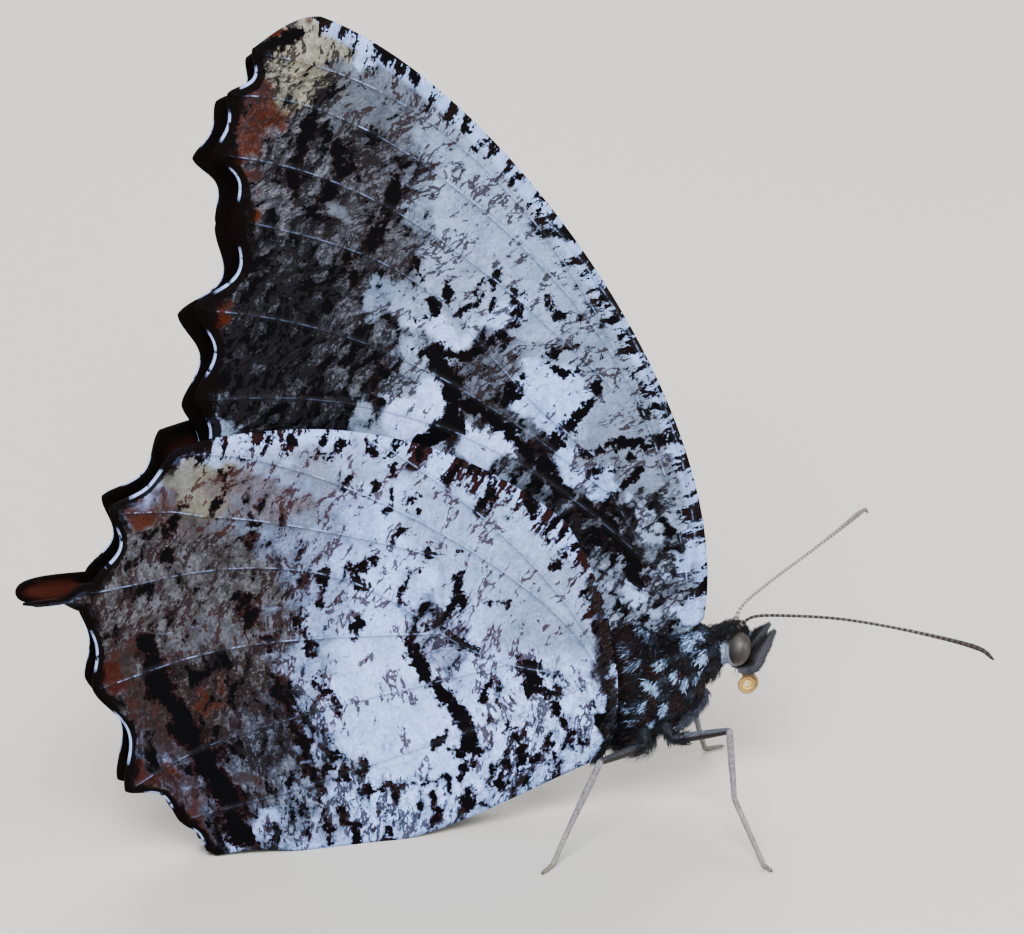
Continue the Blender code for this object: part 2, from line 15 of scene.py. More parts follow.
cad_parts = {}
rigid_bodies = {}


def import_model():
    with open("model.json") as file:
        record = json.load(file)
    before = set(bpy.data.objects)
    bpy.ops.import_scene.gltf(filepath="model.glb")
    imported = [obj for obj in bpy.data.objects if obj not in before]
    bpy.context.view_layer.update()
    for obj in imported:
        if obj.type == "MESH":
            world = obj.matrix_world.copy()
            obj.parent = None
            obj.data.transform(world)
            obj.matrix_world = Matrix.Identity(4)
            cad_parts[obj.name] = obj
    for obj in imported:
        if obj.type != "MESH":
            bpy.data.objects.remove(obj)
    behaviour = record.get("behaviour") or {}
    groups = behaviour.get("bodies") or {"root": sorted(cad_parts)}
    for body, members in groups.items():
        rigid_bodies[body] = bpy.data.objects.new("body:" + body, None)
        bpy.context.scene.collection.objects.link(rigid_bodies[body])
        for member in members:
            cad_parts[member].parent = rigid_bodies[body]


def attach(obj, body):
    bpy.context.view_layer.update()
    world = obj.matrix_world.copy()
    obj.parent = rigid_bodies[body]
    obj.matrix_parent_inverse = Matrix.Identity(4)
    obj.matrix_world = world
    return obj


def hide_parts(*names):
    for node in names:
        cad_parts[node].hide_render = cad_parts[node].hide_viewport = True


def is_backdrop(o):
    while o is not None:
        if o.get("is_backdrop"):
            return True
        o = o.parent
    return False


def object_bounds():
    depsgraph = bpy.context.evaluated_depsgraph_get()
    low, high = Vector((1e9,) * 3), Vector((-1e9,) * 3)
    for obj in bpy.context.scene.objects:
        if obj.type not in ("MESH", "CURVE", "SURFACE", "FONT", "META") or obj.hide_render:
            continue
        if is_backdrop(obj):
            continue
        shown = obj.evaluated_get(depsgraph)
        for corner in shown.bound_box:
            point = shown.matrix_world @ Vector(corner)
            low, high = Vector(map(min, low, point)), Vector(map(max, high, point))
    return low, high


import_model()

CAD_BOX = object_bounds()
MM = 0.001
SHIFT = np.array((0.56, -0.065, 0.0))
SENSOR = 36.0
IMAGE_WIDTH = 1024
BAKE_MAP = "OFBake"
LOG = logging.getLogger("palmfly")
Colour = tuple[float, float, float]
Field = Callable[[np.ndarray], np.ndarray]
Lie = Callable[[np.ndarray, np.ndarray], tuple]

# The abdomen's middle line, X, Y and Z
ABDOMEN = ((5.8, 0, 7.0), (2.8, 0, 6.3), (-1.2, 0, 4.6), (-5.6, 0, 2.5))

# How far the hindwing swells over the abdomen, in millimetres
SWELL_REACH = 2.6
SWELL = 0.72


def rgb(red: int, green: int, blue: int) -> Colour:
    """The base colour that shows as this under the studio's light.

    Args:
        red: Red as it should show, 0 to 255.
        green: Green.
        blue: Blue.

    Returns:
        The linear base colour.
    """
    seen = [min(v / 255, 0.866) for v in (red, green, blue)]
    return tuple(0.097 * max(v - 0.035, 0.002) ** 1.28 / (1.0 - v / 0.94) ** 0.97 for v in seen)


class Tone(Enum):
    """Colours of scales, hair and cuticle, by name."""

    PALE_BLUE = rgb(174, 186, 202)
    WHITE = rgb(198, 207, 226)
    MILK = rgb(193, 205, 224)
    ICE = rgb(176, 190, 207)
    STEEL = rgb(126, 134, 150)
    GREY = rgb(97, 98, 108)
    SLATE = rgb(68, 68, 78)
    SOOT = rgb(36, 34, 40)
    BLACK = rgb(13, 12, 16)
    LOBE = rgb(17, 11, 12)
    BROWN = rgb(72, 46, 42)
    RUST = rgb(94, 38, 18)
    RED = rgb(84, 36, 28)
    TAN = rgb(172, 169, 151)
    MOSS = rgb(150, 148, 134)
    PINK = rgb(124, 113, 119)
    TAUPE = rgb(98, 95, 100)
    UMBER = rgb(60, 48, 47)


class Wire:
    """A socket in a material's node tree, with arithmetic for numbers."""

    def __init__(self, paint: "Paint", socket: bpy.types.NodeSocket) -> None:
        """Wraps a socket.

        Args:
            paint: The material that it belongs to.
            socket: The output socket.
        """
        self.paint = paint
        self.socket = socket

    def math(self, operation: str, *others: "Wire | float", turned: bool = False) -> "Wire":
        """A Math node on this wire.

        Args:
            operation: The Math node's operation.
            others: The other operands.
            turned: True where this wire is the second operand.

        Returns:
            The result.
        """
        operands = (*others, self) if turned else (self, *others)
        return self.paint.node("ShaderNodeMath", {"operation": operation}, dict(enumerate(operands)))

    def __add__(self, other: "Wire | float") -> "Wire":
        """Sum."""
        return self.math("ADD", other)

    def __sub__(self, other: "Wire | float") -> "Wire":
        """Difference."""
        return self.math("SUBTRACT", other)

    def __rsub__(self, other: float) -> "Wire":
        """Difference with the number first."""
        return self.math("SUBTRACT", other, turned=True)

    def __mul__(self, other: "Wire | float") -> "Wire":
        """Product."""
        return self.math("MULTIPLY", other)

    __radd__ = __add__
    __rmul__ = __mul__

    def ramp(self, low: "Wire | float", high: "Wire | float") -> "Wire":
        """A smooth step from 0 at low to 1 at high.

        Args:
            low: Where it starts.
            high: Where it ends, which may be lower.

        Returns:
            The step.
        """
        return self.paint.node(
            "ShaderNodeMapRange",
            {"interpolation_type": "SMOOTHSTEP"},
            {"Value": self, "From Min": low, "From Max": high},
        )

    def over(self, below: "Wire | Colour", colour: "Wire | Colour") -> "Wire":
        """This mask lays a colour over another.

        Args:
            below: The colour where the mask is 0.
            colour: The colour where the mask is 1.

        Returns:
            The mixed colour.
        """
        return self.paint.mix(self, below, colour)


class Paint:
    """A material under construction."""

    def __init__(self, name: str, roughness: float = 0.6, **constants: float) -> None:
        """Starts a material with a Principled shader.

        Args:
            name: The material's name.
            roughness: The plain roughness.
            constants: Values of other sockets, their spaces as underscores.
        """
        self.material = bpy.data.materials.new(name)
        self.material.use_nodes = True
        self.tree = self.material.node_tree
        self.shader = self.tree.nodes["Principled BSDF"]
        self.shader.inputs["Roughness"].default_value = roughness
        for key, value in constants.items():
            self.shader.inputs[key.replace("_", " ")].default_value = value

    def node(self, kind: str, settings: dict, inputs: dict, output: int | str = 0) -> Wire:
        """Adds a node.

        Args:
            kind: The node's type.
            settings: Its settings, made first.
            inputs: Values or wires by socket name or number.
            output: Which output is wanted.

        Returns:
            The output.
        """
        node = self.tree.nodes.new(kind)
        for key, value in settings.items():
            setattr(node, key, value)
        for key, value in inputs.items():
            if isinstance(value, Wire):
                self.tree.links.new(value.socket, node.inputs[key])
            elif isinstance(node.inputs[key], bpy.types.NodeSocketColor):
                node.inputs[key].default_value = (*value, 1.0)
            else:
                node.inputs[key].default_value = value
        return Wire(self, node.outputs[output])

    def mix(self, factor: Wire | float, below: Wire | Colour, colour: Wire | Colour) -> Wire:
        """Mixes two colours.

        Args:
            factor: How much of the second one.
            below: The first colour.
            colour: The second colour.

        Returns:
            The mixed colour.
        """
        return self.node("ShaderNodeMix", {"data_type": "RGBA"}, {0: factor, 6: below, 7: colour}, 2)

    def shaded(self, colour: Wire, factor: Wire | float) -> Wire:
        """A colour made lighter or darker.

        Args:
            colour: The colour.
            factor: What it is multiplied by.

        Returns:
            The new colour.
        """
        return self.node("ShaderNodeVectorMath", {"operation": "SCALE"}, {0: colour, "Scale": factor})

    def place(self, name: str | None = None) -> Wire:
        """A vector attribute, or the place in the object in millimetres.

        Args:
            name: The attribute's name, or None for the place.

        Returns:
            The vector.
        """
        if name:
            return self.node("ShaderNodeAttribute", {"attribute_name": name}, {}, "Vector")
        return self.stretch(self.node("ShaderNodeTexCoord", {}, {}, "Object"), (1 / MM, 1 / MM, 1 / MM))

    def parts(self, name: str) -> tuple[Wire, Wire, Wire]:
        """The three numbers of a vector attribute.

        Args:
            name: The attribute's name.

        Returns:
            Its parts.
        """
        split = self.node("ShaderNodeSeparateXYZ", {}, {0: self.place(name)})
        return tuple(Wire(self, split.socket.node.outputs[i]) for i in range(3))

    def colour(self, name: str) -> Wire:
        """A colour attribute.

        Args:
            name: The attribute's name.

        Returns:
            The colour.
        """
        return self.node("ShaderNodeAttribute", {"attribute_name": name}, {}, "Color")

    def stretch(self, vector: Wire, by: Colour) -> Wire:
        """A vector scaled part by part.

        Args:
            vector: The vector.
            by: The three factors.

        Returns:
            The scaled vector.
        """
        return self.node("ShaderNodeVectorMath", {"operation": "MULTIPLY"}, {0: vector, 1: by})

    def noise(self, vector: Wire, scale: float, detail: float = 2.0, **more: float) -> Wire:
        """Noise about one half.

        Args:
            vector: Where it is read.
            scale: Waves to the unit.
            detail: Octaves.
            more: Other sockets.

        Returns:
            The noise.
        """
        sockets = {"Vector": vector, "Scale": scale, "Detail": detail, **more}
        return self.node("ShaderNodeTexNoise", {}, sockets)

    def drawn_noise(self, vector: Wire, by: Colour, detail: float, rough: float = 0.5) -> Wire:
        """Noise drawn out more one way than the other.

        Args:
            vector: Where it is read.
            by: Waves to the unit along each axis.
            detail: Octaves.
            rough: How strong the fine octaves are.

        Returns:
            The noise.
        """
        return self.noise(self.stretch(vector, by), 1.0, detail, Roughness=rough)

    def cells(self, vector: Wire, scale: float, output: str = "Distance") -> Wire:
        """Cells like scales or facets.

        Args:
            vector: Where they are read.
            scale: Cells to the unit.
            output: Distance or Color.

        Returns:
            That output.
        """
        return self.node("ShaderNodeTexVoronoi", {}, {"Vector": vector, "Scale": scale}, output)

    def finish(self, colour: Wire, relief: Wire | None = None, depth: float = 0.00003) -> bpy.types.Material:
        """Links the colour and the relief.

        Args:
            colour: The base colour.
            relief: Height from 0 to 1.
            depth: What a height of 1 is, in metres.

        Returns:
            The material.
        """
        self.tree.links.new(colour.socket, self.shader.inputs["Base Color"])
        if relief:
            bump = self.node("ShaderNodeBump", {}, {"Height": relief, "Distance": depth, "Strength": 1.0})
            self.tree.links.new(bump.socket, self.shader.inputs["Normal"])
        return self.material


@dataclass(frozen=True)
class Camera:
    """The photograph's view, and the plan of the marks as they are seen in it."""

    azimuth: float = -16.0
    elevation: float = 23.0
    eighteenths: float = 18.0
    target: tuple[float, float, float] = (1.0, 0.0, 21.18)
    middle: tuple[float, float] = (512.0, 467.0)
    distance: float = 800.0

    def onto(self, places: np.ndarray, depth: float) -> np.ndarray:
        """Carries places in the view onto an upright plane along the insect.

        Args:
            places: Right and down from the view's top left corner, in eighteenths of a millimetre.
            depth: The plane's Y in millimetres.

        Returns:
            X and Z in millimetres.
        """
        a, e = math.radians(self.azimuth), math.radians(self.elevation)
        right = (places[:, 0] - self.middle[0]) / self.eighteenths
        up = (self.middle[1] - places[:, 1]) / self.eighteenths
        x = (right - math.sin(a) * depth) / math.cos(a)
        z = (up + math.sin(a) * math.sin(e) * x - math.cos(a) * math.sin(e) * depth) / math.cos(e)
        return np.stack([x + self.target[0], z + self.target[2]], 1)

    def build(self) -> None:
        """Adds the camera to the scene."""
        a, e = math.radians(self.azimuth), math.radians(self.elevation)
        back = Vector((math.sin(a) * math.cos(e), -math.cos(a) * math.cos(e), math.sin(e)))
        data = bpy.data.cameras.new("Camera")
        data.sensor_width = SENSOR
        data.lens = SENSOR * self.distance * self.eighteenths / IMAGE_WIDTH
        data.clip_start = 0.01
        data.clip_end = 20.0
        camera = bpy.data.objects.new("Camera", data)
        bpy.context.scene.collection.objects.link(camera)
        target = Vector(self.target) + Vector(SHIFT)
        camera.location = (target + back * self.distance) * MM
        camera.rotation_euler = back.to_track_quat("Z", "Y").to_euler()
        bpy.context.scene.camera = camera


def unit(vectors: np.ndarray) -> np.ndarray:
    """The same directions with length 1.

    Args:
        vectors: One to a row.

    Returns:
        The directions.
    """
    return vectors / np.linalg.norm(vectors, axis=1)[:, None]


def opaque(colours: np.ndarray) -> np.ndarray:
    """Colours with a full alpha, as an attribute takes them.

    Args:
        colours: One to a row.

    Returns:
        The colours with a fourth column of ones.
    """
    return np.column_stack([colours, np.ones(len(colours))]).astype(np.float32)


def in_ellipse(dx: np.ndarray, dy: np.ndarray, rx: float, ry: float, turn: float) -> np.ndarray:
    """How far out in a turned ellipse places lie.

    Args:
        dx: Places right of its middle.
        dy: Places below its middle.
        rx: Its half length.
        ry: Its half width.
        turn: Its turn, in degrees.

    Returns:
        0 at the middle and 1 on the ellipse.
    """
    a = math.radians(turn)
    return np.hypot((dx * math.cos(a) + dy * math.sin(a)) / rx, (dy * math.cos(a) - dx * math.sin(a)) / ry)


def bezier(handles: tuple, count: int) -> np.ndarray:
    """Points along a cubic curve.

    Args:
        handles: Its four handles.
        count: How many points.

    Returns:
        The points.
    """
    a, b, c, d = (np.array(h, float) for h in handles)
    t = np.linspace(0.0, 1.0, count)[:, None]
    s = 1.0 - t
    return s**3 * a + 3 * s**2 * t * b + 3 * s * t**2 * c + t**3 * d


def resampled(points: np.ndarray, step: float) -> np.ndarray:
    """The same line with points this far apart.

    Args:
        points: The line.
        step: The spacing.

    Returns:
        The new points.
    """
    points = np.asarray(points, float)
    along = np.r_[0.0, np.cumsum(np.linalg.norm(np.diff(points, axis=0), axis=1))]
    at = np.linspace(0.0, along[-1], max(2, round(along[-1] / step) + 1))
    return np.stack([np.interp(at, along, column) for column in points.T], 1)


def curve_through(points: tuple, per_span: int = 6) -> np.ndarray:
    """A smooth curve through points.

    Args:
        points: The points.
        per_span: Steps from one to the next.

    Returns:
        The curve's points.
    """
    p = np.asarray(points, float)
    p = np.vstack([2 * p[0] - p[1], p, 2 * p[-1] - p[-2]])
    t = np.linspace(0.0, 1.0, per_span, endpoint=False)[:, None]
    out = []
    for i in range(1, len(p) - 2):
        a, b = 2 * p[i], p[i + 1] - p[i - 1]
        c = 2 * p[i - 1] - 5 * p[i] + 4 * p[i + 1] - p[i + 2]
        d = 3 * p[i] - p[i - 1] - 3 * p[i + 1] + p[i + 2]
        out.append(0.5 * (a + b * t + c * t**2 + d * t**3))
    return np.vstack([*out, p[-2]])


def smooth(value: np.ndarray, low: float, high: float) -> np.ndarray:
    """A smooth step from 0 at low to 1 at high.

    Args:
        value: The values.
        low: Where it starts.
        high: Where it ends.

    Returns:
        The steps.
    """
    t = np.clip((value - low) / (high - low), 0.0, 1.0)
    return t * t * (3 - 2 * t)


def patchy(points: np.ndarray, size: float, seed: int) -> np.ndarray:
    """Smooth random numbers over a plane.

    Args:
        points: Places in the plane.
        size: How far apart the random numbers lie.
        seed: For the numbers.

    Returns:
        Numbers from -0.5 to 0.5.
    """
    cells = 97
    grid = np.random.default_rng(seed).random((cells, cells)) - 0.5
    place = points / size + 300.0
    whole = np.floor(place).astype(int)
    u, v = (place - whole).T
    u, v = u * u * (3 - 2 * u), v * v * (3 - 2 * v)
    i, j = whole.T % cells
    k, m = (i + 1) % cells, (j + 1) % cells
    near = grid[i, j] * (1 - u) + grid[k, j] * u
    far = grid[i, m] * (1 - u) + grid[k, m] * u
    return near * (1 - v) + far * v


def to_segments(points: np.ndarray, starts: np.ndarray, ends: np.ndarray) -> tuple[np.ndarray, np.ndarray]:
    """Distances from points to segments.

    Args:
        points: The points, n by 2.
        starts: The segments' starts, m by 2.
        ends: The segments' ends.

    Returns:
        Distances, and shares along the segments, both n by m.
    """
    way = ends - starts
    size = np.maximum((way**2).sum(1), 1e-12)
    off = points[:, None, :] - starts[None]
    share = np.clip((off * way[None]).sum(2) / size, 0.0, 1.0)
    return np.linalg.norm(off - share[..., None] * way[None], axis=2), share


def in_blocks(work: Field, points: np.ndarray, size: int = 3000) -> np.ndarray:
    """Runs an array function over blocks of points.

    Args:
        work: The function of a block.
        points: All the points.
        size: Points to a block.

    Returns:
        The results, end to end.
    """
    return np.concatenate([work(points[i : i + size]) for i in range(0, len(points), size)])


def add_mesh(
    name: str,
    points: np.ndarray,
    faces: list | np.ndarray,
    material: bpy.types.Material,
    attributes: dict[str, np.ndarray] | None = None,
) -> bpy.types.Object:
    """Makes a piece from points in millimetres.

    Args:
        name: The piece's name.
        points: Its points before the plan shift.
        faces: Its faces.
        material: Its finish.
        attributes: Vectors or colours to a point, by name.

    Returns:
        The object.
    """
    mesh = bpy.data.meshes.new(name)
    placed = (np.asarray(points, float) + SHIFT) * MM
    mesh.from_pydata(placed.tolist(), [], faces if isinstance(faces, list) else faces.tolist())
    mesh.polygons.foreach_set("use_smooth", np.ones(len(mesh.polygons), bool))
    for key, values in (attributes or {}).items():
        if values.shape[1] == 4:
            mesh.attributes.new(key, "FLOAT_COLOR", "POINT").data.foreach_set("color", values.ravel())
        else:
            mesh.attributes.new(key, "FLOAT_VECTOR", "POINT").data.foreach_set("vector", values.ravel())
    mesh.materials.append(material)
    mesh.update()
    obj = bpy.data.objects.new(name, mesh)
    bpy.context.scene.collection.objects.link(obj)
    return obj


def corners(mesh: bpy.types.Mesh) -> np.ndarray:
    """The point at each face corner of a mesh.

    Args:
        mesh: The mesh.

    Returns:
        The points' numbers.
    """
    out = np.empty(len(mesh.loops), np.int64)
    mesh.loops.foreach_get("vertex_index", out)
    return out


def lay_out(mesh: bpy.types.Mesh, uv: np.ndarray) -> None:
    """Gives a mesh its bake map.

    Args:
        mesh: The mesh.
        uv: U and V for each face corner.
    """
    mesh.uv_layers.new(name=BAKE_MAP).data.foreach_set("uv", uv.astype(np.float32).ravel())


def settle(obj: bpy.types.Object, slot: str, *nodes: str) -> None:
    """Ties a piece to the frame.

    Args:
        obj: The piece.
        slot: Not used.
        nodes: The solids that it stands for.
    """
    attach(obj, "root")
    if nodes:
        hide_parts(*nodes)
    LOG.info("%s: %d faces", obj.name, len(obj.data.polygons))


@dataclass(frozen=True)
class Patch:
    """A soft-edged ellipse of colour on a wing, laid out in the camera's view."""

    tone: Tone
    x: float
    y: float
    rx: float
    ry: float
    turn: float = 0.0
    weight: float = 1.0
    dark: float | None = None
    soft: float = 0.34

    def cover(self, x: np.ndarray, y: np.ndarray) -> np.ndarray:
        """How much of the patch lies at each place.

        Args:
            x: Places right in the view.
            y: Places down in the view.

        Returns:
            Cover from 0 to its weight.
        """
        out = in_ellipse(x - self.x, y - self.y, self.rx, self.ry, self.turn)
        return self.weight * smooth(-out, -1.0 - self.soft / 2, -1.0 + self.soft / 2)


@dataclass(frozen=True)
class Stroke:
    """A dark mark along a line, laid out in the camera's view."""

    width: float
    line: tuple[float, ...]


def laid(*runs: tuple) -> tuple[Patch, ...]:
    """Patches in the order that they are laid.

    Args:
        runs: A tone and then, for each patch of it, place, size, turn, weight and darkness.

    Returns:
        The patches.
    """
    return tuple(Patch(tone, *numbers) for tone, *rest in runs for numbers in rest)


def drawn(lines: dict[float, tuple]) -> tuple[Stroke, ...]:
    """Strokes from their lines.

    Args:
        lines: The lines of the strokes by their width.

    Returns:
        The strokes.
    """
    return tuple(Stroke(width, line) for width, group in lines.items() for line in group)


class WingKind(Enum):
    """Which pair a wing belongs to."""

    FORE = "fore"
    HIND = "hind"


@dataclass(frozen=True)
class WingPlan:
    """The outline, veins and marks of one pair of wings, laid flat."""

    kind: WingKind
    root: tuple[float, float]
    depth: float
    edges: dict
    lobes: tuple
    lower_lobes: tuple
    veins: dict
    raised: dict
    patches: tuple
    strokes: tuple
    # Lines along the hindwing's pleats where painted highlights are laid, in the camera's view.
    pleat_highlights: tuple


FORE_PLAN = WingPlan(
    kind=WingKind.FORE,
    root=(11.6, 10.4),
    depth=-0.6,
    edges={
        "costa": ((12.05, 10.9), (13.99, 23.08), (0.3, 44.31), (-9.94, 49.32)),
        "apex": ((-9.94, 49.32), (-11.3, 49.6), (-12.6, 48.7), (-13.87, 47.9)),
        "inner": ((-16.8, 23.4), (-8.0, 19.2), (2.2, 14.5), (5.7, 11.3)),
        "foot": ((5.7, 11.3), (5.5, 8.4), (9.8, 7.9), (12.05, 10.9)),
    },
    lobes=(
        ((-13.87, 47.9), 0.9),
        ((-15.3, 45.4), 0.45),
        ((-16.1, 42.0), 0.8),
        ((-14.9, 38.0), 1.5),
        ((-17.3, 33.0), 1.15),
        ((-17.3, 27.6), 0.6),
        ((-16.8, 23.4), 0.0),
    ),
    lower_lobes=(),
    veins={
        "Sc": ((11.4, 12.2), (12.2, 21.5), (7.2, 30.6), (2.8, 36.1)),
        "R": ((11.1, 12.0), (10.2, 24.6), (0.9, 44.3), (-13.4, 47.6)),
        "M1": ((7.4, 26.0), (4.3, 32.8), (-7.0, 45.1), (-14.9, 45.3)),
        "M2": ((6.6, 25.6), (0.8, 32.3), (-6.9, 40.4), (-15.7, 41.9)),
        "M3": ((5.6, 21.6), (-3.7, 30.3), (-0.8, 33.5), (-14.5, 37.9)),
        "CuA1": ((6.5, 19.2), (-0.9, 26.0), (-7.0, 31.2), (-16.9, 32.9)),
        "CuA2": ((8.6, 14.8), (1.3, 23.0), (-6.1, 27.3), (-16.9, 27.5)),
        "2A": ((9.9, 12.0), (2.0, 17.6), (-7.0, 22.3), (-16.3, 24.1)),
        "Cu": ((10.8, 12.0), (8.5, 15.0), (6.6, 18.9), (5.6, 21.6)),
        "cell": ((5.6, 21.6), (4.9, 23.6), (5.5, 25.4), (7.4, 26.0)),
    },
    raised={
        "Sc": 0.5, "R": 0.75, "M1": 0.9, "M2": 0.9, "M3": 0.7,
        "CuA1": 0.55, "CuA2": 0.4, "2A": 0.3, "Cu": 0.5, "cell": 0.3,
    },
    patches=laid(
        (Tone.ICE, (560, 330, 140, 60, 55, 0.5, 0.3)),
        (Tone.STEEL, (400, 110, 60, 90, 40, 0.45, 0.42)),
        (Tone.GREY, (300, 250, 115, 190, 8, 1.0, 0.64)),
        (Tone.SLATE, (300, 330, 110, 110, 0, 0.7, 0.7)),
        (Tone.SOOT, (290, 360, 95, 85, 10, 0.72, 0.82)),
        (Tone.SLATE, (380, 210, 50, 75, 15, 0.4, 0.55)),
        (Tone.STEEL, (378, 95, 56, 42, 38, 0.75, 0.4)),
        (Tone.SLATE, (530, 470, 125, 44, 42, 0.75, 0.66)),
        (Tone.SOOT, (480, 400, 42, 52, 10, 0.45, 0.6)),
        (Tone.BROWN, (495, 365, 42, 36, 0, 0.5, 0.5)),
        (Tone.GREY, (370, 350, 40, 60, 10, 0.4, 0.6)),
        (Tone.STEEL, (640, 480, 62, 66, 0, 0.3, 0.36), (600, 365, 50, 50, 0, 0.3, 0.34)),
        (Tone.SOOT, (620, 525, 50, 45, 40, 0.5, 0.74)),
        (Tone.STEEL, (640, 450, 60, 60, -20, 0.35, 0.34), (655, 572, 66, 84, -10, 0.45, 0.76)),
        (Tone.BROWN, (668, 590, 26, 30, 0, 0.35)),
        (
            Tone.WHITE, (440, 333, 25, 20, 10, 1.0, 0.02), (415, 411, 33, 25, -15, 1.0, 0.04),
            (484, 444, 31, 17, 35, 1.0, 0.1),
        ),
        (
            Tone.MILK, (547, 398, 34, 26, 0, 1.0, 0.08), (500, 315, 22, 16, 30, 0.8, 0.2),
            (567, 455, 20, 17, 0, 0.9, 0.15), (602, 487, 20, 17, 0, 0.9, 0.15),
        ),
        (Tone.WHITE, (620, 598, 17, 15, 0, 0.9, 0.2)),
        (
            Tone.MILK, (692, 604, 15, 14, 0, 0.9, 0.25), (644, 583, 8, 11, 0, 0.8, 0.3),
            (686, 563, 17, 10, 10, 0.8, 0.3),
        ),
        (
            Tone.ICE, (651, 524, 18, 10, 55, 0.8, 0.35), (657, 614, 9, 10, 0, 0.8, 0.3),
            (680, 520, 20, 9, 70, 0.7, 0.4), (395, 300, 30, 26, 20, 0.55, 0.35),
        ),
        (Tone.STEEL, (344, 207, 20, 10, 15, 1.0, 0.12)),
        (Tone.TAN, (312, 52, 50, 28, -20, 0.85, 0.46), (290, 88, 42, 20, 15, 0.6, 0.56)),
        (
            Tone.WHITE, (372, 48, 28, 10, 35, 0.8, 0.08), (425, 84, 18, 9, 42, 0.9, 0.1),
            (460, 105, 16, 9, 45, 0.9, 0.12), (512, 162, 24, 11, 48, 1.0, 0.05),
            (545, 198, 18, 9, 50, 0.8, 0.15), (588, 255, 26, 12, 55, 1.0, 0.05),
            (640, 345, 24, 12, 60, 1.0, 0.1),
        ),
        (Tone.MILK, (688, 460, 28, 12, 75, 0.9, 0.15), (696, 545, 26, 10, 85, 0.8, 0.2)),
        (
            Tone.RUST, (258, 108, 26, 16, 10, 0.95, 0.42), (243, 142, 20, 22, 0, 0.9, 0.42),
            (228, 165, 14, 12, 0, 1.0, 0.1), (250, 184, 12, 13, 0, 0.9, 0.2),
            (246, 226, 10, 11, 0, 1.0, 0.1), (219, 311, 15, 12, 0, 1.0, 0.1),
            (278, 49, 24, 9, -25, 1.0, 0.35),
        ),
    ),
    strokes=drawn(
        {
            24: ((440, 352, 446, 372, 455, 398, 450, 424, 424, 440),),
            20: ((385, 58, 398, 58),),
            18: ((555, 445, 570, 425),),
            17: ((470, 405, 500, 425, 525, 450, 560, 488, 605, 520, 640, 580),),
            15: ((340, 148, 346, 175, 328, 200),),
            14: ((312, 132, 300, 168, 298, 200),),
            13: ((420, 266, 421, 280), (372, 248, 350, 262, 356, 282)),
            12: (
                (420, 352, 442, 359, 470, 353, 490, 346, 505, 335, 515, 315), (474, 304, 461, 316),
                (572, 234, 546, 230), (396, 192, 384, 226, 362, 244), (384, 372, 372, 396),
                (306, 38, 288, 48, 262, 58),
            ),
            11: ((505, 402, 515, 387, 525, 376), (447, 284, 443, 300)),
            10: (
                (432, 300, 434, 318, 418, 324), (410, 62, 414, 86), (494, 138, 476, 150),
                (616, 298, 596, 300), (690, 443, 652, 440),
            ),
            9: (
                (481, 280, 479, 290), (519, 294, 516, 306), (545, 302, 560, 314, 576, 316),
                (595, 390, 590, 408, 578, 414), (640, 440, 604, 446, 582, 456),
                (640, 466, 618, 490, 604, 510), (474, 116, 462, 134), (640, 330, 612, 336),
                (660, 376, 638, 380), (670, 410, 646, 414), (322, 22, 338, 26),
            ),
            8: (
                (495, 275, 493, 308), (594, 362, 600, 358), (650, 446, 622, 461, 590, 476),
                (528, 176, 512, 186),
            ),
            7: ((550, 356, 562, 348, 576, 345), (545, 196, 530, 202), (628, 315, 604, 318)),
            6: ((545, 364, 562, 372, 586, 371),),
        }
    ),
    pleat_highlights=(),
)

